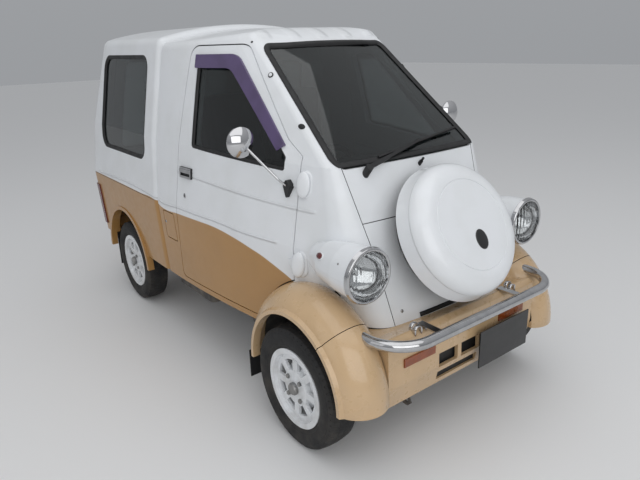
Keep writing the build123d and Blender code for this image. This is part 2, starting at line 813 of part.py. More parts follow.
low_hinge = door_hinge_plane(DOOR_HINGE_LOW_X, DOOR_HINGE_LOW_Z)
top_hinge = door_hinge_plane(DOOR_HINGE_TOP_X, DOOR_HINGE_TOP_Z)
with BuildPart() as hinge_covers:
    for plane, foot in ((low_hinge, DOME_LOW), (top_hinge, DOME_TOP)):
        cover = hinge_cover(plane, foot)
        add(cover)
        add(mirrored(cover))
save(hinge_covers.part, "hinge_covers")

# The inner part of the door's head stops lower, so that it clears the roof as the door swings up
door_head = block(-700, -100, DOOR_BEND_Y - 60, 20, DOOR_TOP_Z - PANEL_GAP - DOOR_HEAD_DROP, DOOR_TOP_Z)
with BuildPart() as door_right:
    add(cab_hollow)
    add(door_slab_right, mode=Mode.INTERSECT)
    add(window_cut, mode=Mode.SUBTRACT)
    add(door_head & cab_solid(DOOR_HEAD_T), mode=Mode.SUBTRACT)
    add(door_knuckle(low_hinge))
    add(door_knuckle(top_hinge))
save(door_right.part, "door_right")
save(mirrored(door_right.part), "door_left")

with BuildPart() as door_glass_right:
    add(glass_layer)
    add(window_pane_cut, mode=Mode.INTERSECT)
save(door_glass_right.part, "door_glass_right")
save(mirrored(door_glass_right.part), "door_glass_left")



# Cargo body
def box_section(row, wall=0, rear_wall=0, front_y=BOX_FRONT_Y):
    """One level outline of the cargo body: a rectangle with rounded corners."""
    x = row.half_x - wall
    rear_y = row.rear_y - rear_wall
    corner_r = max(row.corner_r - wall, 12)
    front_r = BOX_FRONT_R if not wall else 12
    with BuildSketch(Plane.XY.offset(row.z)) as outline:
        with BuildLine():
            FilletPolyline((-x, front_y), (-x, rear_y), (x, rear_y), (x, front_y),
                           radius=[front_r, corner_r, corner_r, front_r], close=True)
        make_face()
    return outline.sketch


def box_solid(wall=0, rear_wall=0, roof_drop=0, front_y=BOX_FRONT_Y, rounding=0):
    with BuildPart() as body:
        for row in BOX_SECTIONS:
            add(box_section(row, wall, rear_wall, front_y))
        loft(ruled=True)
    full = body.part & crown_tool(BOX_ROOF_Z - roof_drop, 0, TAIL_Y + 10)
    if rounding:
        rim = [edge for edge in full.edges() if edge.center().Z > BOX_ROOF_Z - 110]
        full = full.fillet(rounding, rim)
    return full


box_outer = box_solid(rounding=BOX_ROOF_R)
box_inner = box_solid(BOX_WALL, BOX_REAR_WALL, ROOF_WALL, BOX_FRONT_Y - 20)
box_glass_outer = box_solid(GLASS_INSET, GLASS_INSET, GLASS_INSET)
box_glass_inner = box_solid(GLASS_INSET + GLASS_T, GLASS_INSET + GLASS_T, GLASS_INSET + GLASS_T)
box_glass_layer = box_glass_outer - box_glass_inner
box_hollow = box_outer - box_inner


def cargo_window_tool(clear=0):
    points = [(CARGO_WINDOW_FRONT_Y + clear, CARGO_WINDOW_LOW_Z + clear),
              (CARGO_WINDOW_FRONT_Y + clear, CARGO_WINDOW_TOP_Z - clear),
              (CARGO_WINDOW_REAR_Y - clear - 20, CARGO_WINDOW_TOP_Z - clear),
              (CARGO_WINDOW_REAR_Y - clear, CARGO_WINDOW_LOW_Z + clear)]
    return side_prism(points, -CROWN_X, CROWN_X, [65, 65, 80, 75])


def hatch_points(clear=0):
    return [(-HATCH_LOW_X + clear, BELT_Z + SEAM + clear), (-HATCH_TOP_X + clear, HATCH_TOP_Z - clear),
            (HATCH_TOP_X - clear, HATCH_TOP_Z - clear), (HATCH_LOW_X - clear, BELT_Z + SEAM + clear)]


def hatch_window_points(clear=0):
    return [(-HATCH_WINDOW_LOW_X + clear, HATCH_WINDOW_LOW_Z + clear),
            (-HATCH_WINDOW_TOP_X + clear, HATCH_WINDOW_TOP_Z - clear),
            (HATCH_WINDOW_TOP_X - clear, HATCH_WINDOW_TOP_Z - clear),
            (HATCH_WINDOW_LOW_X - clear, HATCH_WINDOW_LOW_Z + clear)]


hatch_open = front_prism(hatch_points(), HATCH_FRONT_Y, TAIL_Y, [20, 60, 60, 20])
hatch_slab = front_prism(hatch_points(PANEL_GAP), HATCH_FRONT_Y, TAIL_Y, [20, 60, 60, 20])
hatch_window_cut = front_prism(hatch_window_points(), HATCH_FRONT_Y, TAIL_Y, 45)
hatch_pane_cut = front_prism(hatch_window_points(SEAT), HATCH_FRONT_Y, TAIL_Y, 45)


def gate_points(clear=0):
    return [(-GATE_X + clear, GATE_LOW_Z + clear), (-GATE_X + clear, BELT_Z - clear),
            (GATE_X - clear, BELT_Z - clear), (GATE_X - clear, GATE_LOW_Z + clear)]


gate_open = front_prism(gate_points(), FLOOR_REAR_Y + 1, TAIL_Y)
gate_slab = front_prism(gate_points(PANEL_GAP), FLOOR_REAR_Y + 1, TAIL_Y)


def rear_arch(radius, x_lo, x_hi):
    return cross_rod(radius, x_lo, x_hi, REAR_AXLE_Y, REAR_ARCH_Z)


# The belt seam is a groove in the outer skin; the canopy sits on the tub behind it
groove_slab = block(-CROWN_X, CROWN_X, 0, TAIL_Y, BELT_Z - SEAM / 2, BELT_Z + SEAM / 2)
belt_groove = groove_slab - box_solid(SEAM, SEAM, 0, BOX_FRONT_Y + SEAM)


def hinge_set(x_mid, y, z, barrel_r):
    """A hinge across the vehicle: moving barrel, fixed pin with cheeks, and the room that each needs."""
    near = HINGE_HALF + HINGE_GAP
    far = near + HINGE_CHEEK_T
    barrel = (cross_rod(barrel_r, x_mid - HINGE_HALF, x_mid + HINGE_HALF, y, z)
              - cross_rod(HINGE_PIN_R + PIN_CLEAR, x_mid - near, x_mid + near, y, z))
    pin = (cross_rod(HINGE_PIN_R, x_mid - far, x_mid + far, y, z)
           + cross_rod(barrel_r, x_mid - far, x_mid - near, y, z) + cross_rod(barrel_r, x_mid + near, x_mid + far, y, z))
    barrel_room = cross_rod(barrel_r + HINGE_ROOM, x_mid - near, x_mid + near, y, z)
    pin_room = (cross_rod(barrel_r + HINGE_ROOM, x_mid - far - HINGE_ROOM, x_mid - HINGE_HALF, y, z)
                + cross_rod(barrel_r + HINGE_ROOM, x_mid + HINGE_HALF, x_mid + far + HINGE_ROOM, y, z))
    return barrel, pin, barrel_room, pin_room


with BuildPart() as cargo_canopy:
    add(box_hollow)
    split(bisect_by=Plane.XY.offset(BELT_Z + SEAT / 2), keep=Keep.TOP)
    add(belt_groove, mode=Mode.SUBTRACT)
    add(cargo_window_tool(), mode=Mode.SUBTRACT)
    add(hatch_open, mode=Mode.SUBTRACT)
    for hinge_x in (-HATCH_HINGE_X, HATCH_HINGE_X):
        barrel, pin, barrel_room, pin_room = hinge_set(hinge_x, HATCH_HINGE_Y, HATCH_HINGE_Z, HATCH_BARREL_R)
        add(barrel_room, mode=Mode.SUBTRACT)
        add(pin)
save(cargo_canopy.part, "cargo_canopy")

with BuildPart() as cargo_glass:
    add(box_glass_layer)
    add(cargo_window_tool(SEAT), mode=Mode.INTERSECT)
save(cargo_glass.part, "cargo_glass")

with BuildPart() as hatch:
    add(box_hollow)
    add(hatch_slab, mode=Mode.INTERSECT)
    add(hatch_window_cut, mode=Mode.SUBTRACT)
    for hinge_x in (-HATCH_HINGE_X, HATCH_HINGE_X):
        barrel, pin, barrel_room, pin_room = hinge_set(hinge_x, HATCH_HINGE_Y, HATCH_HINGE_Z, HATCH_BARREL_R)
        add(pin_room, mode=Mode.SUBTRACT)
        add(block(hinge_x - HINGE_HALF, hinge_x + HINGE_HALF, HATCH_HINGE_Y - 5, HATCH_HINGE_Y + 1,
                  HATCH_HINGE_Z - 30, HATCH_HINGE_Z)
            - cross_rod(HINGE_PIN_R + PIN_CLEAR, hinge_x - HINGE_HALF - 1, hinge_x + HINGE_HALF + 1,
                        HATCH_HINGE_Y, HATCH_HINGE_Z))
        add(barrel)
save(hatch.part, "hatch")

with BuildPart() as hatch_glass:
    add(box_glass_layer)
    add(hatch_pane_cut, mode=Mode.INTERSECT)
save(hatch_glass.part, "hatch_glass")

with BuildPart() as tailgate:
    add(box_hollow)
    add(gate_slab, mode=Mode.INTERSECT)
    for hinge_x in (-GATE_HINGE_X, GATE_HINGE_X):
        barrel, pin, barrel_room, pin_room = hinge_set(hinge_x, GATE_HINGE_Y, GATE_LOW_Z, GATE_BARREL_R)
        add(pin_room, mode=Mode.SUBTRACT)
        add(block(hinge_x - HINGE_HALF, hinge_x + HINGE_HALF, GATE_HINGE_Y - 7, GATE_HINGE_Y - 2,
                  GATE_LOW_Z + 1, GATE_LOW_Z + 20)
            - cross_rod(HINGE_PIN_R + PIN_CLEAR, hinge_x - HINGE_HALF - 1, hinge_x + HINGE_HALF + 1,
                        GATE_HINGE_Y, GATE_LOW_Z))
        add(barrel)
    for s in (-1, 1):
        with BuildSketch(Plane.XZ.offset(-TAIL_Y)):
            with Locations((s * PLATE_HOLE_X, PLATE_HOLE_Z)):
                Circle(PLATE_HOLE_R)
        extrude(amount=200, mode=Mode.SUBTRACT)
save(tailgate.part, "tailgate")

# The tub is the tan lower body: sides, corner posts, floor and arch lips
with BuildPart() as cargo_tub:
    add(box_hollow)
    add(block(-FLOOR_HALF_X, FLOOR_HALF_X, BOX_FRONT_Y + 10, FLOOR_REAR_Y, FLOOR_Z - FLOOR_T, FLOOR_Z))
    split(bisect_by=Plane.XY.offset(BELT_Z - SEAT / 2), keep=Keep.BOTTOM)
    add(belt_groove, mode=Mode.SUBTRACT)
    add(gate_open, mode=Mode.SUBTRACT)
    for hinge_x in (-GATE_HINGE_X, GATE_HINGE_X):
        barrel, pin, barrel_room, pin_room = hinge_set(hinge_x, GATE_HINGE_Y, GATE_LOW_Z, GATE_BARREL_R)
        add(barrel_room, mode=Mode.SUBTRACT)
        add(pin)
    for s in (-1, 1):
        near, far = sorted((s * ARCH_LIP_IN_X, s * ARCH_LIP_OUT_X))
        add(rear_arch(REAR_ARCH_R + LIP_W, near, far))
    add(rear_arch(REAR_ARCH_R, -CROWN_X - 10, CROWN_X + 10), mode=Mode.SUBTRACT)
    split(bisect_by=Plane.XY.offset(REAR_ARCH_Z), keep=Keep.TOP)
save(cargo_tub.part, "cargo_tub")

# Front wings: a pontoon turned about the axle line, seated on the cab's skin
cab_full = cab_loft()
valley, rise, crown, crest, shoulder, edge, lip = [(-p.x, FRONT_AXLE_Y + p.r) for p in WING_SECTION]
axle_axis = Axis((0, FRONT_AXLE_Y, FRONT_ARCH_Z), (1, 0, 0))
with BuildPart() as wing_body:
    with BuildSketch(Plane.XY.offset(FRONT_ARCH_Z)):
        with BuildLine():
            Polyline((valley[0], FRONT_AXLE_Y), valley, rise)
            ThreePointArc(rise, crown, crest)
            ThreePointArc(crest, shoulder, edge)
            Polyline(edge, lip, (lip[0], FRONT_AXLE_Y), (valley[0], FRONT_AXLE_Y))
        make_face()
    revolve(axis=axle_axis, revolution_arc=360)

# The bumper's outer form in the side view, with a shelf back to the nose
bumper_outline = [(SHELF_BACK_Y, SHELF_BACK_Z), (BUMPER_BACK_Y, BUMPER_TOP_Z - 22),
                  (WING_NOSE_Y + 16, BUMPER_TOP_Z),
                  (WING_NOSE_Y - 6, BUMPER_TOP_Z - 16), (WING_NOSE_Y - 12, 330), (WING_NOSE_Y + 8, BUMPER_LOW_Z),
                  (BUMPER_BACK_Y, BUMPER_LOW_Z - 6)]
bumper_zone = [(NOSE_Y, 0), (NOSE_Y, BUMPER_TOP_Z + SEAT), (WING_NOSE_Y + 16, BUMPER_TOP_Z + SEAT),
               (BUMPER_BACK_Y, BUMPER_TOP_Z - 22 + SEAT), (SHELF_BACK_Y,
                                                           SHELF_BACK_Z + SEAT), (SHELF_BACK_Y, 0)]

with BuildPart() as wing_whole:
    add(wing_body.part)
    add(cab_full, mode=Mode.SUBTRACT)
    add(house_tool(HOUSE_T + SEAT, -ARCH_INNER_X, -100), mode=Mode.SUBTRACT)
    add(wing_cylinder(FRONT_ARCH_R, -700, -HOUSE_STEP_X), mode=Mode.SUBTRACT)
    add(side_prism(bumper_zone, -WING_SEAM_X, -100), mode=Mode.SUBTRACT)
    add(block(-700, -100, NOSE_Y, WING_REAR_CUT_Y, LOW_CUT_Z, FRONT_ARCH_Z), mode=Mode.SUBTRACT)
    add(block(-700, -100, WING_REAR_CUT_Y - 1, 0, LOW_CUT_Z, WING_REAR_LOW_Z), mode=Mode.SUBTRACT)
    add(block(-WING_FOOT_X, -100, FRONT_AXLE_Y, 0, 0, DOOR_BOTTOM_Z), mode=Mode.SUBTRACT)


def split_plane(gap):
    """The radial plane between the wing and the lower corner piece."""
    turn = radians(WING_SPLIT_ANGLE)
    down = (0, -sin(turn), -cos(turn))
    return Plane(origin=(0, FRONT_AXLE_Y + gap * down[1], FRONT_ARCH_Z + gap * down[2]), x_dir=(1, 0, 0),
                 z_dir=down)


with BuildPart() as wing_upper:
    add(wing_whole.part)
    split(bisect_by=split_plane(-SEAM / 2), keep=Keep.BOTTOM)
with BuildPart() as wing_lower:
    add(wing_whole.part)
    split(bisect_by=split_plane(SEAM / 2), keep=Keep.TOP)
front_wing_right = wing_upper.part.solids().sort_by(SortBy.VOLUME)[-1]
bumper_corner = wing_lower.part.solids().sort_by(SortBy.VOLUME)[-1]
with BuildPart() as front_wings:
    add(front_wing_right)
    add(mirrored(front_wing_right))
save(front_wings.part, "front_wings")

# Front bumper: a folded panel with an open back, closed ends and grille slots, and two corner pieces
bumper_inside = [(SHELF_BACK_Y + 20, SHELF_BACK_Z - 12), (BUMPER_BACK_Y, BUMPER_TOP_Z - 32),
                 (WING_NOSE_Y + 20, BUMPER_TOP_Z - 14), (WING_NOSE_Y + 10,
                                                         BUMPER_TOP_Z - 24), (WING_NOSE_Y + 4, 330),
                 (WING_NOSE_Y + 20, BUMPER_LOW_Z + 10), (SHELF_BACK_Y + 20, BUMPER_LOW_Z + 4)]
bumper_end_x = WING_SEAM_X - SEAM
with BuildPart() as bumper_caps:
    for s in (-1, 1):
        near, far = sorted((s * (bumper_end_x - BUMPER_CAP_T), s * (bumper_end_x + 5)))
        add(block(near, far, NOSE_Y, BUMPER_CAP_BACK_Y, 0, BUMPER_TOP_Z))
with BuildPart() as front_bumper:
    add(side_prism(bumper_outline, -bumper_end_x, bumper_end_x, [1, 20, 12, 10, 30, 14, 1]))
    add(side_prism(bumper_inside, -WING_SEAM_X - 1, WING_SEAM_X + 1) - bumper_caps.part, mode=Mode.SUBTRACT)
    add(cab_full, mode=Mode.SUBTRACT)
    for s in (-1, 1):
        near, far = sorted((s * (TOW_X - TOW_T / 2 - TOW_ROOM), s * (TOW_X + TOW_T / 2 + TOW_ROOM)))
        add(block(near, far, FRONT_TOW.y - TOW_HALF - TOW_ROOM, BUMPER_BACK_Y + 20, BUMPER_LOW_Z - 10,
                  BUMPER_LOW_Z + 14),
            mode=Mode.SUBTRACT)
    for x_lo, x_hi, z_lo, z_hi in GRILLE_SLOTS:
        add(block(x_lo, x_hi, NOSE_Y, BUMPER_BACK_Y - 10, z_lo, z_hi), mode=Mode.SUBTRACT)
    for s in (-1, 1):
        near, far = sorted((s * LAMP_IN_X, s * LAMP_OUT_X))
        add(block(near, far, NOSE_Y, BUMPER_BACK_Y - 10, LAMP_LOW_Z, LAMP_TOP_Z), mode=Mode.SUBTRACT)
    add(bumper_corner)
    add(mirrored(bumper_corner))
save(front_bumper.part, "front_bumper")

with BuildPart() as indicators:
    for s in (-1, 1):
        near, far = sorted((s * (LAMP_IN_X + SEAT), s * (LAMP_OUT_X - SEAT)))
        add(block(near, far, WING_NOSE_Y - 16, WING_NOSE_Y + 12, LAMP_LOW_Z + SEAT, LAMP_TOP_Z - SEAT))
save(indicators.part, "indicators")

with BuildPart() as number_plate:
    add(block(PLATE_X, PLATE_X + PLATE_W, PLATE_Y, PLATE_Y + PLATE_T, PLATE_Z, PLATE_Z + PLATE_H))
    for stud_x in (PLATE_X + PLATE_W / 2 - PLATE_HOLE_X, PLATE_X + PLATE_W / 2 + PLATE_HOLE_X):
        with BuildSketch(Plane.XZ.offset(-PLATE_Y - PLATE_T)):
            with Locations((stud_x, PLATE_Z + PLATE_H - 40)):
                Circle(9)
        extrude(amount=PLATE_Y + PLATE_T - WING_NOSE_Y + 10)
number_plate_part = number_plate.part - front_bumper.part
save(number_plate_part, "number_plate")

# Chrome tube bar on two brackets
with BuildPart() as bumper_bar:
    with BuildLine() as bar_path:
        FilletPolyline((-BAR_END_X, BAR_END_Y, BAR_Z), (-BAR_END_X - 8, BAR_Y, BAR_Z),
                       (BAR_END_X + 8, BAR_Y, BAR_Z),
                       (BAR_END_X, BAR_END_Y, BAR_Z), radius=BAR_BEND_R)
    with BuildSketch(Plane(origin=bar_path.line @ 0, z_dir=bar_path.line % 0)):
        Circle(BAR_R)
    sweep()
    for s in (-1, 1):
        near, far = sorted((s * (BRACKET_X - 16), s * (BRACKET_X + 16)))
        add(block(near, far, BAR_Y + 6, WING_NOSE_Y + 30, BUMPER_TOP_Z, BUMPER_TOP_Z + 8))
        near, far = sorted((s * (BAR_END_X - 9), s * (BAR_END_X + 9)))
        add(block(near, far, BAR_END_Y - 10, BAR_END_Y + 34, BAR_Z - 12, BAR_Z + 12))
bumper_bar_part = bumper_bar.part - front_wings.part - front_bumper.part
bumper_bar_part = bumper_bar_part.solids().sort_by(SortBy.VOLUME)[-1]
save(bumper_bar_part, "bumper_bar")

# Spare wheel cover: a cup turned about its own tilted axis, with a ring line on its face
cover_out = (0, -cos(radians(COVER_TILT)), sin(radians(COVER_TILT)))
cover_plane = Plane(origin=(0, COVER_Y, COVER_Z), x_dir=(1, 0, 0), z_dir=cover_out)


def cover_body(wall=0):
    """The cover's outer or inner form, as radius against depth."""
    rim = (COVER_RIM_R - wall, -COVER_DEPTH)
    waist = (COVER_WAIST_R - wall, -COVER_WAIST_D)
    body = (COVER_BODY_R - wall, -COVER_BODY_D)
    shoulder = (COVER_SHOULDER_R - wall * 0.8, -COVER_SHOULDER_D - wall * 0.6)
    face = (COVER_FACE_R - wall * 0.4, -wall)
    with BuildPart() as form:
        with BuildSketch(Plane.XZ):
            with BuildLine():
                Polyline((0, -COVER_DEPTH), rim, waist, body)
                ThreePointArc(body, shoulder, face)
                Polyline(face, (0, -wall), (0, -COVER_DEPTH))
            make_face()
        revolve(axis=Axis.Z)
    return form.part


with BuildPart() as cover_turned:
    add(cover_body())
    add(cover_body(COVER_T), mode=Mode.SUBTRACT)
    with BuildSketch(Plane.XZ):
        with Locations((COVER_RING_R, 0)):
            Circle(2.5)
    revolve(axis=Axis.Z, mode=Mode.SUBTRACT)
save(cover_plane.location * cover_turned.part, "spare_wheel_cover")


# Headlamp pods, chrome rings, lenses and bowls
def turned_along_y(points, x, z, arcs=()):
    """A solid turned about a line along Y, from (radius, y) points; arcs give a middle point."""
    with BuildPart() as body:
        with BuildSketch(Plane.XY.offset(z)):
            with BuildLine():
                for index, (a, b) in enumerate(zip(points, points[1:] + points[:1])):
                    start = (x + a[0], a[1])
                    end = (x + b[0], b[1])
                    if index in dict(arcs):
                        middle = dict(arcs)[index]
                        ThreePointArc(start, (x + middle[0], middle[1]), end)
                    else:
                        Line(start, end)
            make_face()
        revolve(axis=Axis((x, 0, z), (0, 1, 0)))
    return body.part


def dome_middle(rim_r, rim_y, apex_y):
    """The middle point of an arc that is centred on the axis and ends at its apex there."""
    depth = apex_y - rim_y
    centre_y = rim_y + (depth ** 2 - rim_r ** 2) / (2 * depth)
    radius = abs(apex_y - centre_y)
    way = copysign(1, depth)
    half_angle = atan2(rim_r, (rim_y - centre_y) * way) / 2
    return radius * sin(half_angle), centre_y + way * radius * cos(half_angle)


def bowl_form(rim_r, rim_y, apex_y, front_y):
    """A short cylinder closed by a spherical dome."""
    points = [(0, front_y), (rim_r, front_y), (rim_r, rim_y), (0, apex_y)]
    return turned_along_y(points, LAMP_X, LAMP_Z, [(2, dome_middle(rim_r, rim_y, apex_y))])


pod_form = turned_along_y([(0, LAMP_FACE_Y)] + [(r, LAMP_FACE_Y + d) for r, d in POD_SECTION], LAMP_X, LAMP_Z)
bowl_cut = bowl_form(BOWL_R, LAMP_FACE_Y + 4, LAMP_FACE_Y + BOWL_DEPTH, LAMP_FACE_Y - 1)
pod_left = pod_form - cab_outer - bowl_cut - mirrored(front_wing_right)
pod_left = pod_left.solids().sort_by(SortBy.VOLUME)[-1]
with BuildPart() as headlamp_pods:
    add(pod_left)
    add(mirrored(pod_left))
save(headlamp_pods.part, "headlamp_pods")

ring_points = [(LENS_R, LAMP_FACE_Y - SEAT), (RING_R - 5, LAMP_FACE_Y - SEAT), (RING_R, LAMP_FACE_Y - 6),
               (RING_R - 3, LAMP_FACE_Y - 18), (LENS_R, LAMP_FACE_Y - 20)]
ring = turned_along_y(ring_points, LAMP_X, LAMP_Z, [(3, (RING_R - 9, LAMP_FACE_Y - 22))])
bowl = (bowl_form(BOWL_R - SEAT, LAMP_FACE_Y + 4 - SEAT, LAMP_FACE_Y + BOWL_DEPTH - SEAT, LAMP_FACE_Y)
        - bowl_form(BOWL_R - BOWL_T, LAMP_FACE_Y + 4 - BOWL_T, LAMP_FACE_Y + BOWL_DEPTH - BOWL_T,
                    LAMP_FACE_Y - 1))
with BuildPart() as headlamp_chrome:
    for piece in (ring, bowl):
        add(piece)
        add(mirrored(piece))
save(headlamp_chrome.part, "headlamp_chrome")

lens = bowl_form(LENS_R - SEAT, LAMP_FACE_Y - 12, LAMP_FACE_Y - 24, LAMP_FACE_Y - 6)
with BuildPart() as headlamp_lenses:
    add(lens)
    add(mirrored(lens))
save(headlamp_lenses.part, "headlamp_lenses")


# Wheels: rim and tyre are made once about the origin, axis along X, outer side towards +X
def wheel_profile(points, arcs=()):
    """A solid turned about the X axis, from (x, radius) points."""
    with BuildPart() as body:
        with BuildSketch(Plane.XY):
            with BuildLine():
                for index, (a, b) in enumerate(zip(points, points[1:] + points[:1])):
                    if index in dict(arcs):
                        ThreePointArc(a, dict(arcs)[index], b)
                    else:
                        Line(a, b)
            make_face()
        revolve(axis=Axis.X)
    return body.part


half_rim = RIM_W / 2
half_tyre = TYRE_W / 2
barrel_points = [(-half_rim, BEAD_R - 8), (-half_rim, RIM_R), (-half_rim + 5, RIM_R), (-half_rim + 9, BEAD_R),
                 (-16, WELL_R), (16, WELL_R), (half_rim - 9, BEAD_R), (half_rim - 5, RIM_R), (half_rim, RIM_R),
                 (half_rim, BEAD_R - 8), (16, WELL_R - 7), (-16, WELL_R - 7)]
with BuildPart() as tyre:
    add(wheel_profile([(-half_rim + 5 + SEAT, RIM_R + SEAT), (-half_rim + 9 + SEAT, BEAD_R + SEAT),
                       (half_rim - 9 - SEAT, BEAD_R + SEAT),
                       (half_rim - 5 - SEAT, RIM_R + SEAT), (half_tyre - 14, TYRE_R - 5), (-half_tyre + 14, TYRE_R - 5)],
                      [(3, (half_tyre, (RIM_R + TYRE_R) / 2 + 4)), (4, (0, TYRE_R)),
                       (5, (-half_tyre, (RIM_R + TYRE_R) / 2 + 4))]))

with BuildPart() as rim:
    add(wheel_profile(barrel_points))
    add(wheel_profile([(DISC_X - 4, WELL_R + 2), (DISC_X + 8, WELL_R + 2), (DISC_X + 10, DISC_RING_R),
                       (DISC_X - 2, DISC_RING_R)]))
    add(wheel_profile([(DRUM_X, SPINDLE_R + PIN_CLEAR), (DRUM_X, DRUM_R), (DISC_X - 14, DRUM_R),
                       (DISC_X - 6, HUB_R),
                       (DISC_X + 14, HUB_R - 6), (DISC_X + 16, HUB_R - 18), (DISC_X + 16, SPINDLE_R + PIN_CLEAR)]))
    with BuildSketch(Plane.YZ.offset(DISC_X)):
        with PolarLocations((HUB_R + DISC_RING_R) / 2, SPOKES):
            Rectangle(DISC_RING_R - HUB_R + 12, SPOKE_W)
    extrude(amount=12)
    with BuildSketch(Plane.YZ.offset(DISC_X + 12)):
        with PolarLocations(LUG_CIRCLE_R, LUGS, start_angle=45):
            RegularPolygon(10, 6)
    extrude(amount=14)
    with BuildSketch(Plane.YZ.offset(DISC_X + 10)):
        Circle(CAP_R)
        Circle(SPINDLE_R + PIN_CLEAR, mode=Mode.SUBTRACT)
    extrude(amount=18)
    with BuildSketch(Plane.YZ.offset(DISC_X + 28)):
        Circle(CAP_R)
    extrude(amount=6, taper=35)

front_places = {"right": (-1, FRONT_WHEEL_X, FRONT_AXLE_Y), "left": (1, FRONT_WHEEL_X, FRONT_AXLE_Y)}
rear_places = {"right": (-1, REAR_WHEEL_X, REAR_AXLE_Y), "left": (1, REAR_WHEEL_X, REAR_AXLE_Y)}
for end, places in (("front", front_places), ("rear", rear_places)):
    for side, (s, wheel_x, axle_y) in places.items():
        place = Location((s * wheel_x, axle_y, TYRE_R), (0, 0, 0 if s > 0 else 180))
        save(place * rim.part, f"{end}_rim_{side}")
        save(place * tyre.part, f"{end}_tyre_{side}")

# Spare wheel inside the cover: tyre, web and the carrier that stands on the nose
spare_plane = Plane(origin=(0, COVER_Y, COVER_Z), x_dir=cover_out, z_dir=(1, 0, 0))
spare_mid = half_tyre - SPARE_BACK_D
tyre_mid_r = (BEAD_R + SPARE_R) / 2
with BuildPart() as spare_turned:
    add(wheel_profile([(spare_mid - half_tyre + 16, BEAD_R), (spare_mid + half_tyre - 16, BEAD_R),
                       (spare_mid + half_tyre - 14, SPARE_R - 5), (spare_mid - half_tyre + 14, SPARE_R - 5)],
                      [(1, (spare_mid + half_tyre - 1, tyre_mid_r)), (2, (spare_mid, SPARE_R)),
                       (3, (spare_mid - half_tyre, tyre_mid_r))]))
    add(wheel_profile([(spare_mid - 30, 0), (spare_mid - 30, BEAD_R + 2), (spare_mid - 20, BEAD_R + 2),
                       (spare_mid - 20, 0)]))
    add(wheel_profile([(-CARRIER_L, 0), (-CARRIER_L, CARRIER_R), (spare_mid - 25, CARRIER_R),
                       (spare_mid - 25, 0)]))
spare_wheel = (spare_plane.location * spare_turned.part) - cab_outer
save(spare_wheel.solids().sort_by(SortBy.VOLUME)[-1], "spare_wheel")

# Steering knuckle, left side: kingpin eye, backing plate, spindle and steering arm
spindle_end = FRONT_WHEEL_X + DISC_X + 24
with BuildPart() as knuckle:
    add(block(KINGPIN_X - 16, KINGPIN_X + 14, FRONT_AXLE_Y - 22, FRONT_AXLE_Y + 22, KNUCKLE_LOW_Z,
              KNUCKLE_TOP_Z))
    add(cross_rod(SPINDLE_R, KINGPIN_X, spindle_end, FRONT_AXLE_Y, TYRE_R))
    add(cross_rod(26, KINGPIN_X, FRONT_WHEEL_X + DRUM_X - 3, FRONT_AXLE_Y, TYRE_R))
    add(block(KINGPIN_X - 30, KINGPIN_X - 8, FRONT_AXLE_Y, FRONT_AXLE_Y + 92, TYRE_R - 40, TYRE_R - 26))
    with BuildSketch(Plane.XY.offset(KNUCKLE_LOW_Z - 1)):
        with Locations((KINGPIN_X, FRONT_AXLE_Y)):
            Circle(KINGPIN_R + PIN_CLEAR)
    extrude(amount=KNUCKLE_TOP_Z - KNUCKLE_LOW_Z + 2, mode=Mode.SUBTRACT)
save(knuckle.part, "knuckle_left")
save(mirrored(knuckle.part), "knuckle_right")

# Front suspension: on each side a strut with two ears, the kingpin and a lower arm
with BuildPart() as strut_left:
    with BuildSketch(Plane.XY.offset(KNUCKLE_LOW_Z - 16)):
        with Locations((STRUT_X, FRONT_AXLE_Y)):
            Circle(STRUT_R)
    extrude(amount=STRUT_TOP_Z - KNUCKLE_LOW_Z + 16)
    for ear_z in (KNUCKLE_LOW_Z - 16, KNUCKLE_TOP_Z + 2):
        with BuildSketch(Plane.XY.offset(ear_z)):
            with Locations(((KINGPIN_X + STRUT_X) / 2, FRONT_AXLE_Y)):
                SlotCenterToCenter(KINGPIN_X - STRUT_X, 34)
        extrude(amount=14)
    with BuildSketch(Plane.XY.offset(KNUCKLE_LOW_Z - 16)):
        with Locations((KINGPIN_X, FRONT_AXLE_Y)):
            Circle(KINGPIN_R)
    extrude(amount=KNUCKLE_TOP_Z - KNUCKLE_LOW_Z + 32)
    add(block(RAIL_X + RAIL_W / 2, STRUT_X, FRONT_AXLE_Y - 16, FRONT_AXLE_Y + 16, KNUCKLE_LOW_Z - 16,
              KNUCKLE_LOW_Z - 2))
    add(block(RAIL_X + RAIL_W / 2, RAIL_X + RAIL_W / 2 + 14, FRONT_AXLE_Y - 60, FRONT_AXLE_Y + 60,
              KNUCKLE_LOW_Z - 16, RAIL_Z + 30))
with BuildPart() as front_suspension:
    add(strut_left.part)
    add(mirrored(strut_left.part))
save(front_suspension.part, "front_suspension")

with BuildPart() as steering_rack:
    add(cross_rod(18, -RACK_X, RACK_X, RACK_Y, RACK_Z))
    for s in (-1, 1):
        near, far = sorted((s * 225, s * RACK_X))
        add(cross_rod(RACK_R, near, far, RACK_Y, RACK_Z))
save(steering_rack.part, "steering_rack")

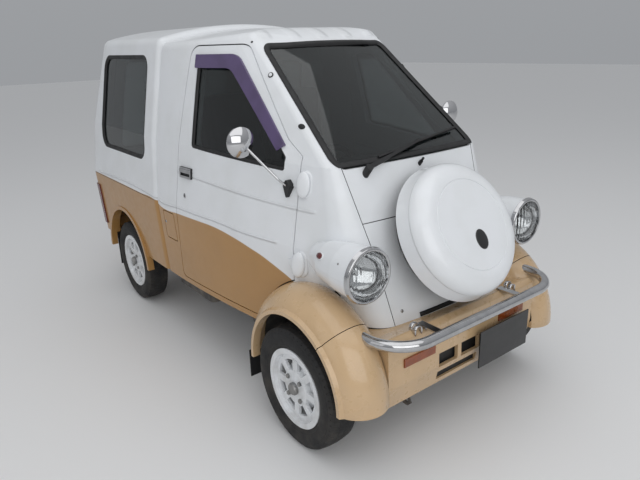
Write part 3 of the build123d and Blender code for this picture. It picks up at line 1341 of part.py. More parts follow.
# Chassis frame: two rails and cross members
with BuildPart() as chassis_frame:
    for s in (-1, 1):
        near, far = sorted((s * (RAIL_X - RAIL_W / 2), s * (RAIL_X + RAIL_W / 2)))
        add(block(near, far, RAIL_FRONT_Y, RAIL_REAR_Y, RAIL_Z, RAIL_Z + RAIL_H))
    for member_y in CROSS_MEMBER_Y:
        add(block(-RAIL_X, RAIL_X, member_y - 25, member_y + 25, RAIL_Z, RAIL_Z + RAIL_H))
    for s in (-1, 1):
        for outrigger_y in OUTRIGGER_Y:
            near, far = sorted((s * RAIL_X, s * (OUTRIGGER_X)))
            add(block(near, far, outrigger_y - 20, outrigger_y + 20, RAIL_Z + 15, RAIL_Z + RAIL_H - 20))
    for s in (-1, 1):
        near, far = sorted((s * (RAIL_X - RAIL_W / 2), s * (RAIL_X + RAIL_W / 2)))
        for mount_y in BODY_MOUNT_Y:
            add(block(near, far, mount_y - 25, mount_y + 25, RAIL_Z + RAIL_H - 1, FLOOR_Z - FLOOR_T - SEAT))
        near, far = sorted((s * (TOW_X - TOW_T / 2), s * (TOW_X + TOW_T / 2)))
        for eye in (FRONT_TOW, REAR_TOW):
            root_z = RAIL_Z + 5
            plate = [(eye.root_y - TOW_HALF, root_z), (eye.root_y + TOW_HALF, root_z),
                     (eye.y + TOW_HALF, eye.z - 11),
                     (eye.y + 12, eye.z - TOW_HALF), (eye.y - 12, eye.z - TOW_HALF), (eye.y - TOW_HALF, eye.z - 11)]
            add(side_prism(plate, near, far))
            add(cross_rod(TOW_HOLE_R, near - 1, far + 1, eye.y, eye.z), mode=Mode.SUBTRACT)
save(chassis_frame.part, "chassis_frame")

# Floor: footwell, seat deck and the housings over the front wheels
floor_side = [(FLOOR_FRONT_Y, FOOT_Z + 180), (FLOOR_FRONT_Y, FOOT_Z), (SEAT_STEP_Y, FOOT_Z),
              (SEAT_STEP_Y, DECK_Z), (CAB_REAR_Y - BACK_WALL - SEAT, DECK_Z),
              (CAB_REAR_Y - BACK_WALL - SEAT, DECK_Z - FOOT_T), (SEAT_STEP_Y + FOOT_T, DECK_Z - FOOT_T),
              (SEAT_STEP_Y + FOOT_T, FOOT_Z - FOOT_T), (FLOOR_FRONT_Y - FOOT_T,
                                                        FOOT_Z - FOOT_T), (FLOOR_FRONT_Y - FOOT_T, FOOT_Z + 180)]
house_right = house_tool(HOUSE_T, -HOUSE_OUT_X) - house_tool(0, -HOUSE_OUT_X - 1)
floor_limit = cab_solid(CAB_WALL + PANEL_GAP + 1, FRONT_WALL, ROOF_WALL, CAB_REAR_Y - BACK_WALL - SEAT)
floor_strip = [(FOOT_BACK_Y, FOOT_Z), (SEAT_STEP_Y, FOOT_Z), (SEAT_STEP_Y, DECK_Z),
               (CAB_REAR_Y - BACK_WALL - SEAT, DECK_Z), (CAB_REAR_Y - BACK_WALL - SEAT, DECK_Z - FOOT_T),
               (SEAT_STEP_Y + FOOT_T, DECK_Z - FOOT_T), (SEAT_STEP_Y + FOOT_T, FOOT_Z - FOOT_T),
               (FOOT_BACK_Y, FOOT_Z - FOOT_T)]
with BuildPart() as floor_pan:
    add(side_prism(floor_strip, -FOOT_X - 40, FOOT_X + 40) & floor_limit)
    add(side_prism(floor_side, -HOUSE_WALL_X, HOUSE_WALL_X))
    add(house_right)
    add(mirrored(house_right))
    split(bisect_by=Plane.XY.offset(HOUSE_LOW_Z), keep=Keep.TOP)
floor_pan_part = floor_pan.part - cab_shell.part - front_skin - front_bumper.part

with BuildPart() as engine_block:
    add(block(-ENGINE_X, ENGINE_X, ENGINE_FRONT_Y, ENGINE_FRONT_Y + ENGINE_L, ENGINE_Z, ENGINE_Z + ENGINE_H))
    mount_x = RAIL_X - RAIL_W / 2 - SEAT
    for mount_y in ENGINE_MOUNT_Y:
        add(block(-mount_x, mount_x, mount_y - 25, mount_y + 25, ENGINE_MOUNT_Z,
                  ENGINE_MOUNT_Z + ENGINE_MOUNT_T))
save(engine_block.part, "engine_block")

with BuildPart() as fuel_tank:
    with BuildSketch(Plane.XY.offset(TANK_Z)):
        with Locations((TANK_X, TANK_Y)):
            RectangleRounded(TANK_W, TANK_L, 35)
    extrude(amount=TANK_H)
save(fuel_tank.part, "fuel_tank")

with BuildPart() as exhaust:
    with BuildLine() as exhaust_path:
        FilletPolyline((ENGINE_X - 60, ENGINE_FRONT_Y + ENGINE_L + SEAT, EXHAUST_Z),
                       (ENGINE_X - 60, 615, EXHAUST_Z),
                       (ENGINE_X - 60, 745, EXHAUST_OVER_Z), (ENGINE_X - 60, 1060,
                                                              EXHAUST_OVER_Z), (ENGINE_X - 60, 1120, EXHAUST_Z),
                       (ENGINE_X - 60, TAIL_Y - 40, EXHAUST_Z), radius=40)
    with BuildSketch(Plane(origin=exhaust_path.line @ 0, z_dir=exhaust_path.line % 0)):
        Circle(19)
    sweep()
save(floor_pan_part, "floor_pan")
save(exhaust.part, "exhaust")

# Rear axle with its differential housing as one turned form, and the leaf springs above it
spindle_x = REAR_WHEEL_X + DISC_X + 24
hub_x = REAR_WHEEL_X + DRUM_X - 5
diff_x = sqrt(DIFF_R ** 2 - AXLE_R ** 2)
axle_points = [(-spindle_x, 0), (-spindle_x, SPINDLE_R), (-hub_x, SPINDLE_R), (-hub_x, AXLE_R),
               (-diff_x, AXLE_R),
               (diff_x, AXLE_R), (hub_x, AXLE_R), (hub_x, SPINDLE_R), (spindle_x, SPINDLE_R), (spindle_x, 0)]
axle_form = Location((0, REAR_AXLE_Y, TYRE_R)) * wheel_profile(axle_points, [(4, (0, DIFF_R))])
with BuildPart() as rear_axle:
    add(axle_form)
    for s in (-1, 1):
        near, far = sorted((s * (SPRING_X - 30), s * (SPRING_X + 30)))
        add(block(near, far, REAR_AXLE_Y - 45, REAR_AXLE_Y + 45, TYRE_R + AXLE_R - 8, SPRING_Z - SEAT))
save(rear_axle.part, "rear_axle")

with BuildPart() as leaf_springs:
    for s in (-1, 1):
        with BuildSketch(Plane.YZ.offset(s * SPRING_X - SPRING_W / 2)):
            with BuildLine():
                top = SPRING_Z + SPRING_T
                rise = SPRING_RISE
                ThreePointArc((REAR_AXLE_Y - SPRING_HALF, SPRING_Z + rise), (REAR_AXLE_Y, SPRING_Z),
                              (REAR_AXLE_Y + SPRING_HALF, SPRING_Z + rise))
                Line((REAR_AXLE_Y + SPRING_HALF, SPRING_Z + rise), (REAR_AXLE_Y + SPRING_HALF, top + rise))
                ThreePointArc((REAR_AXLE_Y + SPRING_HALF, top + rise), (REAR_AXLE_Y, top),
                              (REAR_AXLE_Y - SPRING_HALF, top + rise))
                Line((REAR_AXLE_Y - SPRING_HALF, top + rise), (REAR_AXLE_Y - SPRING_HALF, SPRING_Z + rise))
            make_face()
        extrude(amount=SPRING_W)
        for end_y in (REAR_AXLE_Y - SPRING_HALF, REAR_AXLE_Y + SPRING_HALF):
            near, far = sorted((s * (RAIL_X + RAIL_W / 2 - 2), s * (SPRING_X + SPRING_W / 2)))
            add(cross_rod(16, near, far, end_y, SPRING_Z + rise + SPRING_T / 2))
leaf_springs_part = leaf_springs.part - chassis_frame.part
save(leaf_springs_part, "leaf_springs")

# Inside the cab
column_dir = (0, cos(radians(COLUMN_TILT)), sin(radians(COLUMN_TILT)))
wheel_plane = Plane(origin=(-DRIVER_X, WHEEL_Y, WHEEL_Z), x_dir=(1, 0, 0), z_dir=column_dir)
with BuildPart() as steering_column:
    with BuildSketch(wheel_plane.offset(-COLUMN_L)):
        Circle(COLUMN_R)
    extrude(amount=COLUMN_L - 30)
    with BuildSketch(wheel_plane.offset(-31)):
        Circle(10)
    extrude(amount=36)
save(steering_column.part, "steering_column")

with BuildPart() as column_room:
    with BuildSketch(wheel_plane.offset(-COLUMN_L - 5)):
        Circle(COLUMN_R + SEAT)
    extrude(amount=COLUMN_L)
dash_side = [(DASH_FRONT_Y, DASH_LOW_Z), (DASH_FRONT_Y, DASH_TOP_Z - 20), (DASH_BACK_Y - 60, DASH_TOP_Z),
             (DASH_BACK_Y, DASH_TOP_Z - 50),
             (DASH_BACK_Y - 20, DASH_TOP_Z - 180), (DASH_BACK_Y - 70, DASH_LOW_Z)]
with BuildPart() as dashboard:
    add(side_prism(dash_side, -DASH_X, DASH_X, [20, 20, 40, 30, 30, 20]))
    add(side_prism([(DASH_FRONT_Y + 20, DASH_TOP_Z - 30), (DASH_BACK_Y - 70, DASH_TOP_Z - 12),
                    (DASH_BACK_Y - 30, DASH_TOP_Z + 42), (DASH_FRONT_Y + 60, DASH_TOP_Z + 18)],
                   -DRIVER_X - 150, -DRIVER_X + 150, [2, 4, 10, 6]))
dashboard_part = (dashboard.part & cab_inner) - column_room.part
save(dashboard_part, "dashboard")

seat_side_cushion = [(SEAT_FRONT_Y, DECK_Z + SEAT), (SEAT_FRONT_Y - 10, SEAT_TOP_Z - 10),
                     (SEAT_BACK_Y, SEAT_TOP_Z - 30), (SEAT_BACK_Y, DECK_Z + SEAT)]
seat_side_back = [(SEAT_BACK_Y - 40, SEAT_TOP_Z - 40), (SEAT_BACK_Y + 55, SEAT_HEAD_Z - 160),
                  (SEAT_BACK_Y + 60, SEAT_HEAD_Z), (SEAT_BACK_Y + 120, SEAT_HEAD_Z),
                  (SEAT_BACK_Y + 135, SEAT_HEAD_Z - 160), (SEAT_BACK_Y + 60, SEAT_TOP_Z - 60)]
with BuildPart() as seats:
    for s in (-1, 1):
        add(side_prism(seat_side_cushion, s * DRIVER_X - SEAT_W / 2, s * DRIVER_X + SEAT_W / 2,
                       [20, 45, 20, 10]))
        add(side_prism(seat_side_back, s * DRIVER_X - SEAT_W / 2 + 8, s * DRIVER_X + SEAT_W / 2 - 8,
                       [20, 60, 25, 25, 60, 20]))
save(seats.part, "seats")

with BuildPart() as steering_wheel_turned:
    with BuildSketch(Plane.XZ):
        with Locations((WHEEL_RIM_R, 0)):
            Circle(13)
    revolve(axis=Axis.Z)
    with BuildSketch(Plane.XY.offset(-24)):
        Circle(38)
        Circle(10 + PIN_CLEAR, mode=Mode.SUBTRACT)
    extrude(amount=30)
    with BuildSketch(Plane.XY.offset(6)):
        Circle(38)
    extrude(amount=12)
    for angle in (90, 210, 330):
        with BuildSketch(Plane(origin=(0, 0, -2), x_dir=(cos(radians(angle)), sin(radians(angle)), 0),
                               z_dir=(0, 0, 1))):
            with Locations(((WHEEL_RIM_R + 30) / 2, 0)):
                Rectangle(WHEEL_RIM_R - 30, 28)
        extrude(amount=8)
steering_wheel = wheel_plane.location * steering_wheel_turned.part
save(steering_wheel, "steering_wheel")

# Wiper and washer nozzle, placed on the windscreen's own plane
screen_length = hypot(SCREEN_RUN, SCREEN_RISE)
screen_plane = Plane(origin=(0, SCREEN_FOOT_Y, SCREEN_FOOT_Z), x_dir=(1, 0, 0),
                     z_dir=(0, -SCREEN_RISE / screen_length, SCREEN_RUN / screen_length))


def screen_bar(start, end, start_w, end_w, z_lo, z_hi):
    """A flat bar between two places on the windscreen's plane."""
    length = hypot(end[0] - start[0], end[1] - start[1])
    side = (-(end[1] - start[1]) / length, (end[0] - start[0]) / length)
    corners = [(start[0] + side[0] * start_w / 2, start[1] + side[1] * start_w / 2),
               (end[0] + side[0] * end_w / 2, end[1] + side[1] * end_w / 2),
               (end[0] - side[0] * end_w / 2, end[1] - side[1] * end_w / 2),
               (start[0] - side[0] * start_w / 2, start[1] - side[1] * start_w / 2)]
    with BuildPart() as bar:
        with BuildSketch(screen_plane.offset(z_lo)):
            with BuildLine():
                Polyline(*corners, close=True)
            make_face()
        extrude(amount=z_hi - z_lo)
    return bar.part


with BuildPart() as wiper_arm:
    add(axis_rod(screen_plane, WIPER_BOSS_R, -40, WIPER_ARM_TOP, WIPER_PIVOT))
    add(screen_bar(WIPER_PIVOT, WIPER_JOIN, 18, 9, BLADE_TOP - 1, WIPER_ARM_TOP))
    add(screen_bar(BLADE_START, BLADE_END, BLADE_W, BLADE_W, BLADE_LOW, BLADE_TOP))
with BuildPart() as nozzle:
    add(axis_rod(screen_plane, 8, -40, -4, NOZZLE_PLACE))
    add(axis_rod(screen_plane, 5, -5, 14, NOZZLE_PLACE))
with BuildPart() as wiper:
    add(wiper_arm.part - cab_outer)
    add(nozzle.part - cab_outer)
save(wiper.part, "wiper")

# Mirrors: base and bent arm on the door, round head
with BuildPart() as mirror_arm_right:
    with BuildLine() as arm_path:
        FilletPolyline((-MIRROR_BASE_X, MIRROR_BASE_Y, MIRROR_BASE_Z),
                       (-MIRROR_BASE_X - 45, MIRROR_BASE_Y + 10, MIRROR_BASE_Z + 40),
                       (-MIRROR_HEAD_X, MIRROR_HEAD_Y, MIRROR_HEAD_Z), radius=20)
    with BuildSketch(Plane(origin=arm_path.line @ 0, z_dir=arm_path.line % 0)):
        Circle(5)
    sweep()
    base_points = [(MIRROR_BASE_Y - 24, MIRROR_BASE_Z + 10), (MIRROR_BASE_Y, MIRROR_BASE_Z + 38),
                   (MIRROR_BASE_Y + 24, MIRROR_BASE_Z + 8), (MIRROR_BASE_Y + 3, MIRROR_BASE_Z - 50)]
    add(side_prism(base_points, -MIRROR_BASE_X - 16, -MIRROR_BASE_X + 30, 8))
mirror_head_plane = Plane(origin=(-MIRROR_HEAD_X, MIRROR_HEAD_Y - 4, MIRROR_HEAD_Z), x_dir=(1, 0, 0),
                          z_dir=(0, -1, 0))
with BuildPart() as mirror_head:
    with BuildSketch(Plane.XZ):
        with BuildLine():
            Polyline((0, -12), (MIRROR_R, -12), (MIRROR_R, -4))
            ThreePointArc((MIRROR_R, -4), dome_middle(MIRROR_R, -4, 24), (0, 24))
            Line((0, 24), (0, -12))
        make_face()
    revolve(axis=Axis.Z)
mirror_right = (mirror_arm_right.part - cab_outer) + (mirror_head_plane.location * mirror_head.part)
save(mirror_right, "mirror_right")
save(mirrored(mirror_right), "mirror_left")

# Door handles: a frame round a shallow recess, with a grip across its upper part
def handle_room(half_l, z_lo, z_hi):
    return block(-CROWN_X, -500, HANDLE_Y - half_l, HANDLE_Y + half_l, HANDLE_Z + z_lo, HANDLE_Z + z_hi)


inner_half_h = HANDLE_H / 2 - HANDLE_FRAME
handle_frame = handle_room(HANDLE_L / 2, -HANDLE_H / 2, HANDLE_H / 2) & cab_solid(-HANDLE_PROUD)
handle_recess = handle_room(HANDLE_L / 2 - HANDLE_FRAME, -inner_half_h,
                            inner_half_h) - cab_solid(-HANDLE_RECESS)
handle_grip = handle_room(HANDLE_L / 2 - 2, 0, inner_half_h + 2) & cab_solid(-HANDLE_GRIP)
door_handle_right = (handle_frame - handle_recess + handle_grip) - cab_outer
save(door_handle_right, "door_handle_right")
save(mirrored(door_handle_right), "door_handle_left")

# Door visors: a thin band over the window's top and front, held along its outer edge
visor_band = [(VISOR_REAR_Y, VISOR_TOP_Z), (VISOR_BEND_Y, VISOR_TOP_Z), (VISOR_FRONT_Y, VISOR_FRONT_Z),
              (VISOR_FRONT_Y + 32, VISOR_FRONT_Z - 24), (VISOR_BEND_Y + 18, VISOR_LOW_Z), (VISOR_REAR_Y - 4, VISOR_LOW_Z)]
visor_edge = [(VISOR_REAR_Y, VISOR_TOP_Z), (VISOR_BEND_Y, VISOR_TOP_Z), (VISOR_FRONT_Y, VISOR_FRONT_Z),
              (VISOR_FRONT_Y + 4, VISOR_FRONT_Z - 4), (VISOR_BEND_Y + 2, VISOR_TOP_Z - VISOR_EDGE),
              (VISOR_REAR_Y, VISOR_TOP_Z - VISOR_EDGE)]
visor_skin = cab_solid(-VISOR_OUT)
door_visor_right = ((side_prism(visor_band, -CROWN_X, -DOOR_INNER_X, [8, 110, 10, 10, 90, 8])
                     & (visor_skin - cab_solid(VISOR_T - VISOR_OUT)))
                    + (side_prism(visor_edge, -CROWN_X, -DOOR_INNER_X, [1, 110, 1, 1, 106, 1])
                       & (visor_skin - cab_solid(-SEAT))))
save(door_visor_right, "door_visor_right")
save(mirrored(door_visor_right), "door_visor_left")

# Tail lamps wrap the rear posts of the tub, and the rear bumper sits below the tailgate
with BuildPart() as tail_lamps:
    lamp_body = block(GATE_X + 4, CROWN_X, 1270, TAIL_Y, TAIL_LAMP_Z, TAIL_LAMP_Z + TAIL_LAMP_H)
    add((lamp_body & box_solid(-LAMP_PROUD, -LAMP_PROUD)) - box_outer)
    add(mirrored((lamp_body & box_solid(-LAMP_PROUD, -LAMP_PROUD)) - box_outer))
save(tail_lamps.part, "tail_lamps")

with BuildPart() as rear_bumper:
    add(side_prism([(TAIL_Y - 75, 330), (TAIL_Y - 12, 330), (TAIL_Y, 345), (TAIL_Y, 410),
                    (TAIL_Y - 12, REAR_BUMPER_TOP_Z), (TAIL_Y - 36, REAR_BUMPER_TOP_Z),
                    (TAIL_Y - 36, 352), (TAIL_Y - 75, 352)], -REAR_BUMPER_X, REAR_BUMPER_X))
rear_bumper_part = rear_bumper.part - cargo_tub.part
save(rear_bumper_part, "rear_bumper")

with BuildPart() as mudflaps:
    for s in (-1, 1):
        near, far = sorted((s * FLAP_IN_X, s * FLAP_OUT_X))
        add(block(near, far, FLAP_FRONT_Y, FLAP_FRONT_Y + FLAP_T, FLAP_LOW_Z, WING_REAR_LOW_Z - SEAT))
        near, far = sorted((s * FLAP_IN_X, s * (ARCH_LIP_IN_X - 5)))
        add(block(near, far, FLAP_REAR_Y, FLAP_REAR_Y + FLAP_T, FLAP_LOW_Z, SILL_Z - SEAT))
save(mudflaps.part, "mudflaps")
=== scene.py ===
import json
import math

import bpy
import bmesh
import numpy as np
from mathutils import Matrix, Vector
from mathutils.bvhtree import BVHTree


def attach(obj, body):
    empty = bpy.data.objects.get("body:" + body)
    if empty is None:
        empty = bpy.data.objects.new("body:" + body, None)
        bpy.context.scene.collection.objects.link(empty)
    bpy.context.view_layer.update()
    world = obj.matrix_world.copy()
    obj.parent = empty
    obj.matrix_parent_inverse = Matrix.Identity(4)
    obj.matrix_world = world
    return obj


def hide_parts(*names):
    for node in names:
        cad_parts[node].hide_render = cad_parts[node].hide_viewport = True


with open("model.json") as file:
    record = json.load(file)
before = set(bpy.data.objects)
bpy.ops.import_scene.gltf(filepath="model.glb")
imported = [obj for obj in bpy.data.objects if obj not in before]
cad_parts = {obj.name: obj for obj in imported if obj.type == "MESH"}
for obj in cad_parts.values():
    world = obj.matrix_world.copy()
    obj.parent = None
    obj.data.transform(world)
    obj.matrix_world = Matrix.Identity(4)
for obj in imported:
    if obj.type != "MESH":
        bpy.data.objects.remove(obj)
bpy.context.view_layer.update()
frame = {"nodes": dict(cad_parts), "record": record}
nodes = frame["nodes"]

# Paint and material colours
WHITE = (0.80, 0.82, 0.845)
TAN = (0.42, 0.222, 0.066)
CREAM = (0.61, 0.42, 0.235)
PURPLE = (0.13, 0.085, 0.22)
BLACK = (0.012, 0.012, 0.013)
FLOOR = (0.80, 0.80, 0.80)
DUST = (0.30, 0.26, 0.21)

# The photograph's camera
CAMERA_PLACE = (-1.701, -2.5586, 1.5411)
CAMERA_YAW = -0.64772
CAMERA_PITCH = 0.33415
CAMERA_ROLL = -0.031117
CAMERA_LENS_MM = 31.93
SENSOR_MM = 36.0

# Places shared with the model, in metres
FRONT_AXLE_Y = -0.948
REAR_AXLE_Y = 0.892
FRONT_WHEEL_X = 0.579
REAR_WHEEL_X = 0.533
TYRE_R = 0.254
DISC_X = 0.034
LAMP_X = 0.469
LAMP_Z = 0.768
LAMP_FACE_Y = -1.190

SIDES = (("right", -1), ("left", 1))


def principled(name, colour, rough=0.4, metal=0.0, coat=0.0, transmission=0.0, sheen=0.0, ior=1.5):
    """A plain Principled material."""
    material = bpy.data.materials.new(name)
    material.use_nodes = True
    shader = material.node_tree.nodes["Principled BSDF"]
    shader.inputs["Base Color"].default_value = (*colour, 1)
    shader.inputs["Roughness"].default_value = rough
    shader.inputs["Metallic"].default_value = metal
    shader.inputs["IOR"].default_value = ior
    shader.inputs["Coat Weight"].default_value = coat
    shader.inputs["Coat Roughness"].default_value = 0.05
    shader.inputs["Transmission Weight"].default_value = transmission
    shader.inputs["Sheen Weight"].default_value = sheen
    return material


def shader_of(material):
    return material.node_tree.nodes["Principled BSDF"]


def math_node(tree, operation, a, b=None, clamp=False):
    """A Math node; a and b are sockets or numbers."""
    node = tree.nodes.new("ShaderNodeMath")
    node.operation = operation
    node.use_clamp = clamp
    for socket, value in zip(node.inputs, (a, b)):
        if value is None:
            continue
        if isinstance(value, (int, float)):
            socket.default_value = value
        else:
            tree.links.new(value, socket)
    return node.outputs[0]


def map_range(tree, value, from_low, from_high, to_low=0.0, to_high=1.0, smooth=True):
    node = tree.nodes.new("ShaderNodeMapRange")
    node.interpolation_type = "SMOOTHSTEP" if smooth else "LINEAR"
    tree.links.new(value, node.inputs["Value"])
    node.inputs["From Min"].default_value = from_low
    node.inputs["From Max"].default_value = from_high
    node.inputs["To Min"].default_value = to_low
    node.inputs["To Max"].default_value = to_high
    return node.outputs["Result"]


def mix_colour(tree, share, a, b):
    """A colour between a and b, each a socket or a plain colour."""
    node = tree.nodes.new("ShaderNodeMix")
    node.data_type = "RGBA"
    tree.links.new(share, node.inputs["Factor"])
    for socket, value in ((node.inputs["A"], a), (node.inputs["B"], b)):
        if isinstance(value, tuple):
            socket.default_value = (*value, 1)
        else:
            tree.links.new(value, socket)
    return node.outputs["Result"]


def place_axes(tree):
    """The point's own coordinates, split into x, y and z."""
    coords = tree.nodes.new("ShaderNodeTexCoord")
    split = tree.nodes.new("ShaderNodeSeparateXYZ")
    tree.links.new(coords.outputs["Object"], split.inputs[0])
    return split.outputs["X"], split.outputs["Y"], split.outputs["Z"], coords.outputs["Object"]


def noise(tree, vector, scale, detail=4.0):
    node = tree.nodes.new("ShaderNodeTexNoise")
    node.inputs["Scale"].default_value = scale
    node.inputs["Detail"].default_value = detail
    tree.links.new(vector, node.inputs["Vector"])
    return node.outputs["Fac"]


def curve_value(tree, value, points):
    """A smooth curve through (value, result) points, level outside them."""
    first, last = points[0][0], points[-1][0]
    along = math_node(tree, "DIVIDE", math_node(tree, "SUBTRACT", value, first), last - first, True)
    node = tree.nodes.new("ShaderNodeFloatCurve")
    line = node.mapping.curves[0]
    line.points[0].location = (0, points[0][1])
    line.points[1].location = (1, points[-1][1])
    for at, result in points[1:-1]:
        line.points.new((at - first) / (last - first), result)
    node.mapping.update()
    tree.links.new(along, node.inputs["Value"])
    return node.outputs[0]


def add_bump(material, height):
    """Bump from a height in metres."""
    tree = material.node_tree
    bump = tree.nodes.new("ShaderNodeBump")
    bump.inputs["Strength"].default_value = 1.0
    bump.inputs["Distance"].default_value = 1.0
    tree.links.new(height, bump.inputs["Height"])
    tree.links.new(bump.outputs["Normal"], shader_of(material).inputs["Normal"])


def worn(material, rough, rough_spread=0.08, shade=0.9, grain=6.0, bump=0.0, fine=200.0, dust=0.0,
         colour=None, height=None):
    """Uneven tone and gloss, dust that thickens towards the ground, and a fine surface."""
    tree = material.node_tree
    shader = shader_of(material)
    x, y, z, place = place_axes(tree)
    if colour is None:
        colour = tuple(shader.inputs["Base Color"].default_value)[:3]
    broad = noise(tree, place, grain)
    share = map_range(tree, broad, 0.35, 0.7)
    darker = tree.nodes.new("ShaderNodeMix")
    darker.data_type = "RGBA"
    darker.blend_type = "MULTIPLY"
    tree.links.new(share, darker.inputs["Factor"])
    if isinstance(colour, tuple):
        darker.inputs["A"].default_value = (*colour, 1)
    else:
        tree.links.new(colour, darker.inputs["A"])
    darker.inputs["B"].default_value = (shade, shade, shade * 0.99, 1)
    tone = darker.outputs["Result"]
    if dust:
        low = map_range(tree, z, 0.55, 0.2, 0.0, dust)
        patchy = math_node(tree, "MULTIPLY", low, map_range(tree, noise(tree, place, 14.0, 6.0), 0.3, 0.75))
        tone = mix_colour(tree, patchy, tone, DUST)
    tree.links.new(tone, shader.inputs["Base Color"])
    tree.links.new(map_range(tree, noise(tree, place, grain * 5), 0.3, 0.7, rough - rough_spread / 2,
                             rough + rough_spread / 2), shader.inputs["Roughness"])
    heights = [] if height is None else [height]
    if bump:
        heights.append(math_node(tree, "MULTIPLY", noise(tree, place, fine), bump))
    if heights:
        total = heights[0]
        for more in heights[1:]:
            total = math_node(tree, "ADD", total, more)
        add_bump(material, total)
    return material


# Two-tone paint: tan below a wave that falls from the belt to the front wing, white above
WAVE = [(-0.84, 0.30), (-0.80, 0.621), (-0.763, 0.6412), (-0.719, 0.6586), (-0.661, 0.6802), (-0.602, 0.6998),
        (-0.539, 0.715), (-0.474, 0.7302), (-0.405, 0.7431), (-0.333, 0.7536), (-0.255, 0.7590), (-0.17, 0.7590),
        (0.0245, 0.7555), (0.24, 0.7525), (0.31, 0.7765), (0.52, 0.7783), (1.14, 0.7790)]
WAVE_BLUR = 0.004
# Pressed lines along the sides: z against y, half width and height
BELT_LINE = [(-0.69, 0.777), (-0.608, 0.7775), (-0.48, 0.780), (-0.336, 0.7896), (-0.173, 0.7905), (0.018, 0.790),
             (0.24, 0.783), (0.31, 0.793), (1.14, 0.794)]
BELT_ENDS = (-0.72, 1.25)
HANDLE_LINE = [(-0.862, 0.929), (-0.782, 0.930), (-0.709, 0.933), (-0.595, 0.938), (-0.47, 0.944), (-0.33, 0.952),
               (-0.213, 0.959), (0.04, 0.969)]
HANDLE_ENDS = (-0.90, 0.05)
PRESS_HALF = 0.011
PRESS_HEIGHT = 0.0055
RIB_HEIGHT = 0.007


def pressed_line(tree, y, z, points, start_y, end_y):
    """The height of a soft bead that follows a line and fades at its ends."""
    off = math_node(tree, "ABSOLUTE", math_node(tree, "SUBTRACT", z, curve_value(tree, y, points)))
    bead = map_range(tree, off, PRESS_HALF, 0.0, 0.0, PRESS_HEIGHT)
    inside = math_node(tree, "MULTIPLY", map_range(tree, y, start_y, start_y + 0.03),
                       map_range(tree, y, end_y, end_y - 0.03))
    return math_node(tree, "MULTIPLY", bead, inside)


def two_tone(name):
    material = principled(name, WHITE, coat=0.35)
    tree = material.node_tree
    x, y, z, place = place_axes(tree)
    above = math_node(tree, "SUBTRACT", z, curve_value(tree, y, WAVE))
    share = math_node(tree, "ADD", math_node(tree, "DIVIDE", above, WAVE_BLUR), 0.5, True)
    colour = mix_colour(tree, share, TAN, WHITE)
    belt = pressed_line(tree, y, z, BELT_LINE, *BELT_ENDS)
    upper = pressed_line(tree, y, z, HANDLE_LINE, *HANDLE_ENDS)
    # shallow ribs along the cab's roof
    wave = map_range(tree, math_node(tree, "COSINE", math_node(tree, "MULTIPLY", x, 2 * math.pi / 0.15)), 0.0, 1.0)
    roof = math_node(tree, "MULTIPLY", map_range(tree, z, 1.555, 1.575), map_range(tree, y, 0.16, 0.10))
    middle = map_range(tree, math_node(tree, "ABSOLUTE", x), 0.36, 0.33)
    ribs = math_node(tree, "MULTIPLY", math_node(tree, "MULTIPLY", wave, roof),
                     math_node(tree, "MULTIPLY", middle, RIB_HEIGHT))
    height = math_node(tree, "ADD", math_node(tree, "ADD", belt, upper), ribs)
    return worn(material, 0.34, colour=colour, shade=0.95, bump=0.000008, dust=0.15, height=height)


def wheel_axes(tree, x, y, z):
    """Distance from the wheel's axle, place along it from the wheel's middle, and the angle round it."""
    rear = math_node(tree, "GREATER_THAN", y, 0.0)
    centre_y = math_node(tree, "ADD", math_node(tree, "MULTIPLY", rear, REAR_AXLE_Y - FRONT_AXLE_Y), FRONT_AXLE_Y)
    centre_x = math_node(tree, "ADD", math_node(tree, "MULTIPLY", rear, REAR_WHEEL_X - FRONT_WHEEL_X), FRONT_WHEEL_X)
    along = math_node(tree, "SUBTRACT", math_node(tree, "ABSOLUTE", x), centre_x)
    off_y = math_node(tree, "SUBTRACT", y, centre_y)
    off_z = math_node(tree, "SUBTRACT", z, TYRE_R)
    radius = math_node(tree, "SQRT", math_node(tree, "ADD", math_node(tree, "MULTIPLY", off_y, off_y),
                                               math_node(tree, "MULTIPLY", off_z, off_z)))
    return radius, along, math_node(tree, "ARCTAN2", off_z, off_y)


def groove(tree, value, at, half):
    """One inside a groove about a value, falling to none at its edges."""
    off = math_node(tree, "ABSOLUTE", math_node(tree, "SUBTRACT", value, at))
    return map_range(tree, off, half, half * 0.6)


def tyre_rubber(name):
    material = principled(name, (0.014, 0.014, 0.015))
    tree = material.node_tree
    x, y, z, place = place_axes(tree)
    radius, along, angle = wheel_axes(tree, x, y, z)
    round_grooves = math_node(tree, "ADD", groove(tree, along, 0.0, 0.004),
                              groove(tree, math_node(tree, "ABSOLUTE", along), 0.027, 0.004))
    blocks = math_node(tree, "SINE", math_node(tree, "ADD", math_node(tree, "MULTIPLY", angle, 58.0),
                                               math_node(tree, "MULTIPLY", along, 90.0)))
    cross_grooves = map_range(tree, blocks, 0.72, 0.9)
    tread = math_node(tree, "MULTIPLY", math_node(tree, "MAXIMUM", round_grooves, cross_grooves),
                      map_range(tree, radius, 0.236, 0.241))
    rings = math_node(tree, "ADD", groove(tree, radius, 0.184, 0.003), groove(tree, radius, 0.226, 0.003))
    height = math_node(tree, "SUBTRACT", math_node(tree, "MULTIPLY", rings, 0.0015),
                       math_node(tree, "MULTIPLY", tread, 0.006))
    return worn(material, 0.78, shade=0.7, grain=9.0, bump=0.0002, fine=500.0, dust=0.12, height=height)


